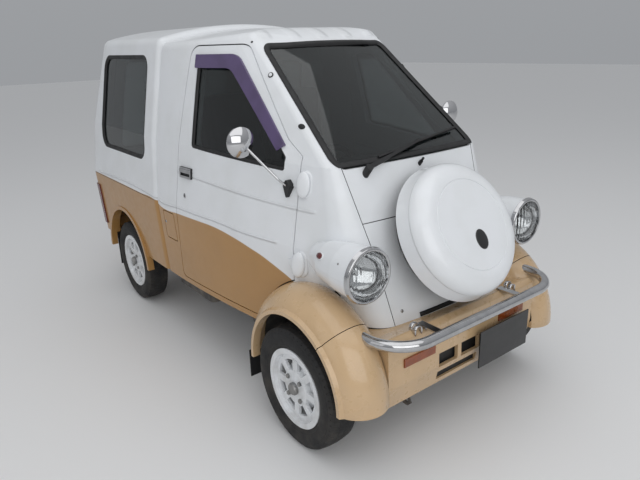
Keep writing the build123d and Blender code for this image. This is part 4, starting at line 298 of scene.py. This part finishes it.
def wheel_paint(name):
    """White rims whose nuts and cap are bare metal."""
    material = principled(name, WHITE, coat=0.3)
    tree = material.node_tree
    x, y, z, place = place_axes(tree)
    radius, along, angle = wheel_axes(tree, x, y, z)
    metal = math_node(tree, "MULTIPLY", math_node(tree, "GREATER_THAN", along, DISC_X + 0.017),
                      math_node(tree, "LESS_THAN", radius, 0.07))
    tree.links.new(metal, shader_of(material).inputs["Metallic"])
    colour = mix_colour(tree, metal, WHITE, (0.30, 0.30, 0.30))
    return worn(material, 0.36, colour=colour, shade=0.88, grain=20.0, bump=0.00004, dust=0.3)


def mirror_metal(name):
    """Chrome whose foot on the door is black plastic."""
    material = principled(name, (0.6, 0.6, 0.61))
    tree = material.node_tree
    x, y, z, place = place_axes(tree)
    foot = math_node(tree, "MULTIPLY", math_node(tree, "LESS_THAN", math_node(tree, "ABSOLUTE", x), 0.494),
                     math_node(tree, "LESS_THAN", y, -0.715))
    tree.links.new(math_node(tree, "SUBTRACT", 1.0, foot), shader_of(material).inputs["Metallic"])
    tree.links.new(mix_colour(tree, foot, (0.6, 0.6, 0.61), BLACK), shader_of(material).inputs["Base Color"])
    tree.links.new(map_range(tree, foot, 0.0, 1.0, 0.05, 0.5), shader_of(material).inputs["Roughness"])
    return material


def lens_glass(name):
    """Lamp glass with upright flutes."""
    material = principled(name, (0.93, 0.95, 0.95), rough=0.03, transmission=1.0)
    tree = material.node_tree
    x, y, z, place = place_axes(tree)
    flutes = math_node(tree, "SINE", math_node(tree, "MULTIPLY", x, 2 * math.pi / 0.02))
    bands = math_node(tree, "SINE", math_node(tree, "MULTIPLY", z, 2 * math.pi / 0.05))
    height = math_node(tree, "ADD", math_node(tree, "MULTIPLY", flutes, 0.00015),
                       math_node(tree, "MULTIPLY", bands, 0.0002))
    add_bump(material, height)
    return material


def fluted(name, colour, pitch):
    """A coloured lamp cover with fine upright flutes."""
    material = principled(name, colour, coat=0.5)
    tree = material.node_tree
    x, y, z, place = place_axes(tree)
    across = math_node(tree, "ADD", x, y)
    flutes = math_node(tree, "SINE", math_node(tree, "MULTIPLY", across, 2 * math.pi / pitch))
    return worn(material, 0.18, shade=0.8, grain=30.0, height=math_node(tree, "MULTIPLY", flutes, 0.0004))


def weave(name, colour):
    """Seat cloth: a fine basket weave."""
    material = principled(name, colour, sheen=0.3)
    tree = material.node_tree
    x, y, z, place = place_axes(tree)
    up = math_node(tree, "ADD", y, z)
    threads = math_node(tree, "MULTIPLY", math_node(tree, "SINE", math_node(tree, "MULTIPLY", x, 2 * math.pi / 0.004)),
                        math_node(tree, "SINE", math_node(tree, "MULTIPLY", up, 2 * math.pi / 0.004)))
    return worn(material, 0.92, shade=0.75, grain=12.0, height=math_node(tree, "MULTIPLY", threads, 0.0004))


FINISH = {
    "body_white": worn(principled("white paint", WHITE, coat=0.6), 0.34, shade=0.95, bump=0.000008, dust=0.2),
    "two_tone": two_tone("two tone paint"),
    "body_tan": worn(principled("tan paint", TAN, coat=0.6), 0.34, shade=0.9, bump=0.000008, dust=0.15),
    "wing_tan": worn(principled("wing paint", CREAM, coat=0.6), 0.30, shade=0.92, bump=0.000008, dust=0.15),
    "wheel_white": wheel_paint("wheel paint"),
    "chrome": worn(principled("chrome", (0.56, 0.56, 0.57), metal=1.0), 0.07, 0.06, shade=0.85, grain=25.0),
    "mirror": mirror_metal("mirror chrome"),
    "glass": principled("window glass", (0.22, 0.25, 0.25), rough=0.02, transmission=1.0),
    "lamp_glass": lens_glass("lamp glass"),
    "tyre": tyre_rubber("tyre rubber"),
    "black_rubber": worn(principled("black rubber and painted shade", BLACK), 0.55, 0.15, shade=0.7, bump=0.0001, fine=300.0),
    "chassis_black": worn(principled("chassis black", (0.02, 0.02, 0.021)), 0.55, 0.2, shade=0.6, dust=0.5),
    "cast_metal": worn(principled("cast metal", (0.25, 0.25, 0.26), metal=0.8), 0.55, 0.2, shade=0.6,
                       bump=0.0004, fine=120.0, dust=0.4),
    "bare_steel": worn(principled("bare steel", (0.4, 0.39, 0.38), metal=1.0), 0.42, 0.2, shade=0.6, dust=0.4),
    "cab_plastic": worn(principled("cab plastic", (0.035, 0.035, 0.038)), 0.6, 0.1, bump=0.0003, fine=400.0),
    "seat_cloth": weave("seat cloth", (0.10, 0.10, 0.115)),
    "amber_lens": fluted("amber lens", (0.30, 0.065, 0.012), 0.006),
    "red_lens": fluted("red lens", (0.13, 0.010, 0.010), 0.006),
    "plate_paint": worn(principled("plate paint", (0.015, 0.015, 0.016), coat=0.2), 0.35, shade=0.8),
    "visor_purple": worn(principled("visor purple", PURPLE, coat=0.6, transmission=0.3), 0.18, shade=0.8, grain=10.0),
}
TWO_TONE_NODES = ("cab_shell", "door_right", "door_left", "fuel_lid", "cargo_canopy", "cargo_tub",
                  "front_corners")
CREAM_NODES = ("front_wings", "front_bumper")
MIRROR_NODES = ("mirror_right", "mirror_left")

slot_of = {part["node"]: part["material_slot"] for part in frame["record"]["subparts"]}
for name, node in nodes.items():
    finish = FINISH[slot_of[name]]
    if name in TWO_TONE_NODES:
        finish = FINISH["two_tone"]
    if name in CREAM_NODES:
        finish = FINISH["wing_tan"]
    if name in MIRROR_NODES:
        finish = FINISH["mirror"]
    node.data.materials.clear()
    node.data.materials.append(finish)


# Panel joints: faces that look straight at their neighbour across a narrow seam are painted black, as painted shade in
# the seam
SEAM_SHADE_NODES = ("cab_shell", "front_corners", "cowl_panel", "service_lid", "front_wings", "front_bumper",
              "cargo_canopy", "cargo_tub", "headlamp_pods")
SEAM_SHADE_REACH = 0.0042
painted_shade = FINISH["black_rubber"]
corners = []
triangles = []
for name in SEAM_SHADE_NODES:
    mesh = nodes[name].data
    start = len(corners)
    corners.extend(vertex.co.copy() for vertex in mesh.vertices)
    triangles.extend([start + corner for corner in face.vertices] for face in mesh.polygons)
panels = BVHTree.FromPolygons(corners, triangles)
for name in SEAM_SHADE_NODES:
    mesh = nodes[name].data
    mesh.materials.append(painted_shade)
    for face in mesh.polygons:
        hit, normal, _, _ = panels.ray_cast(face.center + face.normal * 0.0004, face.normal, SEAM_SHADE_REACH)
        if hit and normal.dot(face.normal) < -0.7:
            face.material_index = 1

# The recess behind each door handle's grip is painted black, as painted shade in the recess
HANDLE_SHADE_DEPTH = 0.004
for side, way in SIDES:
    mesh = nodes["door_handle_" + side].data
    mesh.materials.append(painted_shade)
    outward = Vector((way * 0.99, -0.07, 0.11))
    depths = [face.center.dot(outward) for face in mesh.polygons]
    for face, depth in zip(mesh.polygons, depths):
        if depth < max(depths) - HANDLE_SHADE_DEPTH:
            face.material_index = 1


def new_piece(name, points, faces, body, finish, smooth=True):
    """A mesh piece that rides on a body."""
    mesh = bpy.data.meshes.new(name)
    mesh.from_pydata([tuple(point) for point in points], [], [tuple(face) for face in faces])
    work = bmesh.new()
    work.from_mesh(mesh)
    bmesh.ops.recalc_face_normals(work, faces=work.faces)
    work.to_mesh(mesh)
    work.free()
    mesh.polygons.foreach_set("use_smooth", [smooth] * len(mesh.polygons))
    mesh.materials.append(FINISH[finish])
    piece = bpy.data.objects.new(name, mesh)
    bpy.context.scene.collection.objects.link(piece)
    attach(piece, body)
    return piece


def skin_loops(name, outward, limit=0.5):
    """Outlines of the faces of a node that look outwards, longest first, as points with their normals."""
    work = bmesh.new()
    work.from_mesh(nodes[name].data)
    bmesh.ops.remove_doubles(work, verts=work.verts, dist=1e-6)
    work.normal_update()
    way = Vector(outward).normalized()
    skin = {face for face in work.faces if face.normal.dot(way) > limit}
    following = {}
    for face in skin:
        for loop in face.loops:
            others = [other for other in loop.edge.link_faces if other is not face]
            if not any(other in skin for other in others):
                following[loop.vert] = (loop.link_loop_next.vert, face.normal.copy())
    outlines = []
    while following:
        first = next(iter(following))
        points, normals = [], []
        vertex = first
        while vertex in following:
            after, normal = following.pop(vertex)
            points.append(vertex.co[:])
            normals.append(normal[:])
            vertex = after
        outlines.append((np.array(points), np.array(normals)))
    work.free()
    outlines.sort(key=lambda outline: -np.linalg.norm(np.diff(outline[0], axis=0), axis=1).sum())
    return outlines


def even_steps(points, normals, step):
    """A closed path with its points at even steps."""
    looped = np.vstack([points, points[:1]])
    turned = np.vstack([normals, normals[:1]])
    reach = np.concatenate([[0], np.cumsum(np.linalg.norm(np.diff(looped, axis=0), axis=1))])
    at = np.linspace(0, reach[-1], max(int(reach[-1] / step), 12), endpoint=False)
    spaced = np.column_stack([np.interp(at, reach, looped[:, axis]) for axis in range(3)])
    facing = np.column_stack([np.interp(at, reach, turned[:, axis]) for axis in range(3)])
    return spaced, facing / np.linalg.norm(facing, axis=1)[:, None]


def panel_rise(points, normals, reach=0.03):
    """How far the painted panels stand above each point."""
    rises = []
    for place, normal in zip(points, normals):
        hit, _, _, distance = panels.ray_cast(Vector(place + normal * reach), Vector(-normal), reach)
        rises.append(reach - distance if hit else 0.0)
    return np.array(rises)


def swept(name, points, normals, profile, body, finish, slot=None, closed=True, over_panels=False):
    """A profile of (side, height) places carried along a path; side points away from the path's middle."""
    if closed:
        ahead = np.roll(points, -1, axis=0) - np.roll(points, 1, axis=0)
    else:
        ahead = np.gradient(points, axis=0)
    side = np.cross(ahead, normals)
    side /= np.linalg.norm(side, axis=1)[:, None]
    if (side * (points - points.mean(axis=0))).sum() < 0:
        side = -side
    rise = np.zeros(len(points))
    if over_panels:
        rise = np.max([panel_rise(points + side * across, normals) for across in LIP_PROBES], axis=0)
        rise = np.maximum(rise - LIP_REST, 0.0)
        rise = np.max([np.roll(rise, shift) for shift in (-1, 0, 1)], axis=0)
        rise = np.mean([np.roll(rise, shift) for shift in (-2, -1, 0, 1, 2)], axis=0)
    rings = [points + side * across + normals * (height + rise * (across > LIP_START and height > LIP_REST))[:, None]
             for across, height in profile]
    count, width = len(points), len(profile)
    places = np.stack(rings, axis=1).reshape(-1, 3)
    faces = []
    for row in range(count if closed else count - 1):
        after = (row + 1) % count
        for column in range(width):
            beside = (column + 1) % width
            faces.append((row * width + column, row * width + beside, after * width + beside, after * width + column))
    if not closed:
        faces.append(tuple(range(width)))
        faces.append(tuple((count - 1) * width + column for column in range(width)))
    return new_piece(name, places, faces, body, finish)


# Rubber seals round the glass: profiles across the frame and up from the glass
LIP_PROBES = (0.001, 0.006, 0.011)
LIP_START = -0.012
LIP_REST = 0.0052
SIDE_SEAL = [(-0.014, 0.0004), (-0.0135, 0.004), (-0.010, 0.0085), (-0.004, 0.0108), (-0.0004, 0.0108),
             (-0.0004, 0.0004)]
SCREEN_SEAL = [(-0.018, 0.0004), (-0.017, 0.0035), (-0.011, 0.0075), (-0.002, 0.0088), (0.008, 0.0088),
               (0.012, 0.0070), (0.0115, 0.0062), (-0.0004, 0.0060), (-0.0004, 0.0004)]
CARGO_SEAL = [(-0.014, 0.0004), (-0.0135, 0.004), (-0.010, 0.0085), (-0.004, 0.0118), (0.005, 0.0122),
              (0.0085, 0.0112), (-0.0004, 0.0104), (-0.0004, 0.0004)]
Seal = (("windscreen_seal", "cab_glass", (0, -0.62, 0.78), 0.9, SCREEN_SEAL, "body"),
        ("cab_back_seal", "cab_glass", (0, 1, 0), 0.9, SIDE_SEAL, "body"),
        ("door_seal_right", "door_glass_right", (-1, 0, 0.15), 0.5, SIDE_SEAL, "door_right_body"),
        ("door_seal_left", "door_glass_left", (1, 0, 0.15), 0.5, SIDE_SEAL, "door_left_body"),
        ("cargo_seal_right", "cargo_glass", (-1, 0, 0.15), 0.5, CARGO_SEAL, "body"),
        ("cargo_seal_left", "cargo_glass", (1, 0, 0.15), 0.5, CARGO_SEAL, "body"),
        ("hatch_seal", "hatch_glass", (0, 1, 0.15), 0.5, SIDE_SEAL, "hatch_body"))
for name, node, outward, limit, profile, body in Seal:
    points, normals = skin_loops(node, outward, limit)[0]
    swept(name, *even_steps(points, normals, 0.006), profile, body, "black_rubber",
          over_panels=name == "windscreen_seal")

# Weather strips down in the gaps round the doors, hatch and tailgate
GAP_STRIP = [(0.0025 + 0.0021 * math.cos(turn), -0.009 + 0.003 * math.sin(turn))
             for turn in np.linspace(0, 2 * math.pi, 8, endpoint=False)]
Strips = (("door_strip_right", "door_right", (-1, 0, 0.1)), ("door_strip_left", "door_left", (1, 0, 0.1)),
          ("hatch_strip", "hatch", (0, 1, 0.1)),
          ("tailgate_strip", "tailgate", (0, 1, 0)))
for name, node, outward in Strips:
    points, normals = skin_loops(node, outward)[0]
    swept(name, *even_steps(points, normals, 0.006), GAP_STRIP, "body", "black_rubber")


def turned(name, profile, centre, axis, body, finish, slot=None, steps=40, squeeze=1.0, across=None):
    """A solid of revolution from (radius, height) places; squeeze narrows it along one direction."""
    z_axis = Vector(axis).normalized()
    x_axis = (Vector(across) if across else z_axis.orthogonal()).normalized()
    x_axis = (x_axis - z_axis * x_axis.dot(z_axis)).normalized()
    y_axis = z_axis.cross(x_axis)
    points, faces = [], []
    for radius, height in profile:
        for turn in np.linspace(0, 2 * math.pi, steps, endpoint=False):
            points.append(Vector(centre) + x_axis * (radius * math.cos(turn) * squeeze)
                          + y_axis * (radius * math.sin(turn)) + z_axis * height)
    for row in range(len(profile) - 1):
        for column in range(steps):
            beside = (column + 1) % steps
            faces.append((row * steps + column, row * steps + beside, (row + 1) * steps + beside,
                          (row + 1) * steps + column))
    faces.append(tuple(range(steps)))
    faces.append(tuple((len(profile) - 1) * steps + column for column in range(steps)))
    return new_piece(name, points, faces, body, finish)


def dome(radius, height, base=0.001):
    """A low dome's profile, from its buried foot up."""
    rows = [(radius, -base), (radius, height * 0.35)]
    rows += [(radius * math.cos(turn), height * (0.35 + 0.65 * math.sin(turn))) for turn in (0.5, 0.9, 1.25, 1.5)]
    return rows


# Small round fittings: name, place, way out, radius, height, squeeze, body, finish
Fittings = []
for side, way in SIDES:
    door_body = "door_%s_body" % side
    Fittings += [
        ("side_marker_base_" + side, (way * 0.5404, -1.0217, 0.8111), (way * 0.87, 0.16, 0.46), 0.016, 0.004, 1.45,
         "body", "body_white"),
        ("side_marker_" + side, (way * 0.5404, -1.0217, 0.8111), (way * 0.87, 0.16, 0.46), 0.012, 0.010, 1.5,
         "body", "red_lens"),
        ("post_ring_" + side, (way * 0.3828, -0.5161, 1.4225), (way * 0.81, -0.32, 0.5), 0.012, 0.003, 1.1,
         "body", "black_rubber"),
        ("post_stud_" + side, (way * 0.3828, -0.5161, 1.4225), (way * 0.81, -0.32, 0.5), 0.008, 0.006, 1.1,
         "body", "body_white"),
        ("post_clip_" + side, (way * 0.4047, -0.7504, 1.2362), (way * 0.68, -0.42, 0.6), 0.011, 0.005, 1.4,
         "body", "black_rubber"),
        ("roof_stud_" + side, (way * 0.3652, -0.357, 1.5531), (way * 0.7, -0.41, 0.59), 0.005, 0.003, 1.0,
         "body", "black_rubber"),
        ("door_key_" + side, (way * 0.603, -0.0323, 0.8601), (way * 0.99, -0.07, 0.11), 0.013, 0.003, 0.9,
         door_body, "chrome"),
        # the black slot is painted shade in the keyhole
        ("door_key_slot_" + side, (way * 0.603, -0.0323, 0.8601), (way * 0.99, -0.07, 0.11), 0.008, 0.0045, 0.6,
         door_body, "black_rubber"),
        ("lid_screw_" + side, (way * 0.2511, -1.1567, 0.5464), (way * 0.1, -0.95, 0.3), 0.007, 0.003, 1.0,
         "body", "bare_steel"),
        ("pod_screw_" + side, (way * 0.5533, -1.1404, 0.8183), (way * 0.89, 0.06, 0.46), 0.004, 0.002, 1.0,
         "body", "bare_steel"),
    ]
Fittings += [
    ("cover_plaque", (0.0134, -1.3111, 0.8204), (0, -0.866, 0.5), 0.031, 0.004, 1.29, "body", "plate_paint"),
    ("fuel_key", (-0.6165, 0.21, 0.68), (-0.99, 0.0, 0.055), 0.008, 0.003, 1.0, "fuel_lid_body", "chrome"),
    # the black slot is painted shade in the keyhole
    ("fuel_key_slot", (-0.6165, 0.21, 0.68), (-0.99, 0.0, 0.055), 0.0045, 0.0045, 0.5, "fuel_lid_body",
     "black_rubber"),
    ("plate_bolt_right", (-0.06, -1.3203, 0.316), (0, -1, 0), 0.006, 0.003, 1.0, "body", "bare_steel"),
    ("plate_bolt_left", (0.15, -1.3203, 0.316), (0, -1, 0), 0.006, 0.003, 1.0, "body", "bare_steel"),
]
for name, centre, axis, radius, height, squeeze, body, finish in Fittings:
    turned(name, dome(radius, height), centre, axis, body, finish, steps=24, squeeze=squeeze, across=(0, 1, 0))

# Bulging caps over the hinge covers
HINGE_WAY = (0.92, -0.37, 0.12)
CAP_SINK = 0.002
hinge_points = np.array([vertex.co[:] for vertex in nodes["hinge_covers"].data.vertices])
for side, way in SIDES:
    outward = np.array(HINGE_WAY) * (way, 1, 1)
    outward /= np.linalg.norm(outward)
    for place, upper, height, squeeze in (("low", False, 0.016, 0.6), ("top", True, 0.014, 0.58)):
        own = hinge_points[(hinge_points[:, 0] * way > 0) & ((hinge_points[:, 2] > 0.9) == upper)]
        middle = (own.min(axis=0) + own.max(axis=0)) / 2
        middle += outward * ((own @ outward).max() - middle @ outward - CAP_SINK)
        half_tall = (own[:, 2].max() - own[:, 2].min()) / 2
        turned("hinge_cap_%s_%s" % (place, side), dome(half_tall * 0.97, height), tuple(middle), tuple(outward),
               "body", "body_white", squeeze=squeeze, across=(0, 1, 0))

# Bulbs behind the lamp glass
BULB = [(0.0, -0.030), (0.010, -0.030), (0.010, -0.006), (0.017, -0.004), (0.017, 0.006), (0.012, 0.012), (0.002, 0.014)]
for side, way in SIDES:
    turned("lamp_bulb_" + side, BULB, (way * LAMP_X, LAMP_FACE_Y + 0.045, LAMP_Z), (0, -1, 0), "body", "chrome")

# Chrome straps that clamp the bar's brackets to the bumper's shelf
STRAP = [(-0.002, -0.007), (0.002, -0.007), (0.002, 0.007), (-0.002, 0.007)]
STRAP_X = 0.290
STRAP_HALF = 0.017
for side, way in SIDES:
    for row, y in enumerate((-1.256, -1.276)):
        foot = 0.514 - row * 0.006
        middle = way * STRAP_X
        path = [(middle - STRAP_HALF, y, foot), (middle - STRAP_HALF, y, foot + 0.020)]
        path += [(middle + STRAP_HALF * math.sin(turn), y, foot + 0.020 + 0.014 * math.cos(turn))
                 for turn in np.linspace(-1.4, 1.4, 9)]
        path += [(middle + STRAP_HALF, y, foot + 0.020), (middle + STRAP_HALF, y, foot)]
        facing = np.tile([0.0, -1.0, 0.0], (len(path), 1))
        swept("bar_clamp_%s_%d" % (side, row + 1), np.array(path), facing, STRAP, "body", "chrome", closed=False)

# A black strip along the service lid's lower edge, as painted shade in the gap under it
LID_GAP_SHADE = [(-0.009, 0.0), (0.009, 0.0), (0.009, 0.004), (-0.009, 0.004)]
path = np.array([(x, -1.1815 + 0.15 * x * x, 0.513) for x in np.linspace(-0.17, 0.17, 18)])
swept("lid_gap_shade", path, np.tile([0.0, -0.95, 0.32], (len(path), 1)), LID_GAP_SHADE, "body", "black_rubber", closed=False)

# A black sheet behind the bumper's slots, as painted shade inside them
new_piece("grille_slot_shade", [(-0.19, -1.262, 0.245), (0.09, -1.262, 0.245), (0.09, -1.262, 0.40), (-0.19, -1.262, 0.40),
                             (-0.19, -1.260, 0.245), (0.09, -1.260, 0.245), (0.09, -1.260, 0.40), (-0.19, -1.260, 0.40)],
          [(0, 1, 2, 3), (7, 6, 5, 4), (0, 4, 5, 1), (1, 5, 6, 2), (2, 6, 7, 3), (3, 7, 4, 0)], "body", "black_rubber",
          smooth=False)

# Seat pads over the plain seat solids
PAD_VOXEL = 0.012


def seat_pads():
    """Rounded, crowned pads with sewn channels in the place of the two seat solids."""
    work = bmesh.new()
    work.from_mesh(nodes["seats"].data)
    mesh = bpy.data.meshes.new("seat_pads")
    work.to_mesh(mesh)
    work.free()
    pads = bpy.data.objects.new("seat_pads", mesh)
    bpy.context.scene.collection.objects.link(pads)
    shrink = pads.modifiers.new("remesh", "REMESH")
    shrink.mode = "VOXEL"
    shrink.voxel_size = PAD_VOXEL
    soften = pads.modifiers.new("soften", "SMOOTH")
    soften.factor = 0.8
    soften.iterations = 12
    smooth_mesh = bpy.data.meshes.new_from_object(pads.evaluated_get(bpy.context.evaluated_depsgraph_get()))
    pads.modifiers.clear()
    pads.data = smooth_mesh
    centre_x = 0.205
    for vertex in smooth_mesh.vertices:
        off = abs(vertex.co.x) - centre_x
        groove_depth = sum(math.exp(-((off - line) / 0.006) ** 2) for line in (-0.11, 0.11)) * 0.008
        crown = 0.006 * (1 - min(abs(off) / 0.17, 1) ** 2)
        vertex.co += vertex.normal * (crown - groove_depth)
    smooth_mesh.polygons.foreach_set("use_smooth", [True] * len(smooth_mesh.polygons))
    smooth_mesh.materials.clear()
    smooth_mesh.materials.append(FINISH["seat_cloth"])
    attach(pads, "body")
    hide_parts("seats")
    return pads


seat_pads()

# Floor, light and camera
floor_mesh = bpy.data.meshes.new("floor")
floor_mesh.from_pydata([(-30, -30, 0), (30, -30, 0), (30, 30, 0), (-30, 30, 0)], [], [(0, 1, 2, 3)])
floor = bpy.data.objects.new("floor", floor_mesh)
bpy.context.scene.collection.objects.link(floor)
floor_mesh.materials.append(principled("floor", FLOOR, rough=0.9))

world = bpy.data.worlds.new("world")
bpy.context.scene.world = world
world.use_nodes = True
sky = world.node_tree
direction = sky.nodes.new("ShaderNodeTexCoord")
parts = sky.nodes.new("ShaderNodeSeparateXYZ")
sky.links.new(direction.outputs["Generated"], parts.inputs[0])
overhead = map_range(sky, parts.outputs["Z"], -0.05, 0.9)
sky.links.new(mix_colour(sky, overhead, (0.62, 0.64, 0.67), (0.95, 0.97, 1.0)),
              sky.nodes["Background"].inputs["Color"])
sky.nodes["Background"].inputs["Strength"].default_value = 0.52


def area_light(name, place, target, size, power):
    data = bpy.data.lights.new(name, "AREA")
    data.shape = "RECTANGLE"
    data.size = size[0]
    data.size_y = size[1]
    data.energy = power
    lamp = bpy.data.objects.new(name, data)
    lamp.location = place
    way = Vector(target) - Vector(place)
    lamp.rotation_euler = way.to_track_quat("-Z", "Y").to_euler()
    bpy.context.scene.collection.objects.link(lamp)


area_light("sky light", (-0.5, -1.5, 5.5), (0, 0, 0.8), (6, 6), 85)
area_light("side light", (-5.5, -1.0, 3.0), (0, 0, 0.8), (3, 4), 15)
area_light("front light", (-2.5, -6.0, 3.0), (0, -0.5, 0.8), (6, 4), 105)

bpy.context.scene.view_settings.view_transform = "Standard"

sin_y, cos_y = math.sin(CAMERA_YAW), math.cos(CAMERA_YAW)
sin_p, cos_p = math.sin(CAMERA_PITCH), math.cos(CAMERA_PITCH)
sin_r, cos_r = math.sin(CAMERA_ROLL), math.cos(CAMERA_ROLL)
back = Vector((sin_y * cos_p, -cos_y * cos_p, sin_p))
right = (-back).cross(Vector((0, 0, 1))).normalized()
up = right.cross(-back)
camera_x = cos_r * right + sin_r * up
camera_y = -sin_r * right + cos_r * up
camera_data = bpy.data.cameras.new("camera")
camera_data.lens = CAMERA_LENS_MM
camera_data.sensor_width = SENSOR_MM
camera_data.clip_end = 100
camera = bpy.data.objects.new("camera", camera_data)
camera.matrix_world = Matrix((
    (camera_x.x, camera_y.x, back.x, CAMERA_PLACE[0]),
    (camera_x.y, camera_y.y, back.y, CAMERA_PLACE[1]),
    (camera_x.z, camera_y.z, back.z, CAMERA_PLACE[2]),
    (0, 0, 0, 1)))
bpy.context.scene.collection.objects.link(camera)
bpy.context.scene.camera = camera
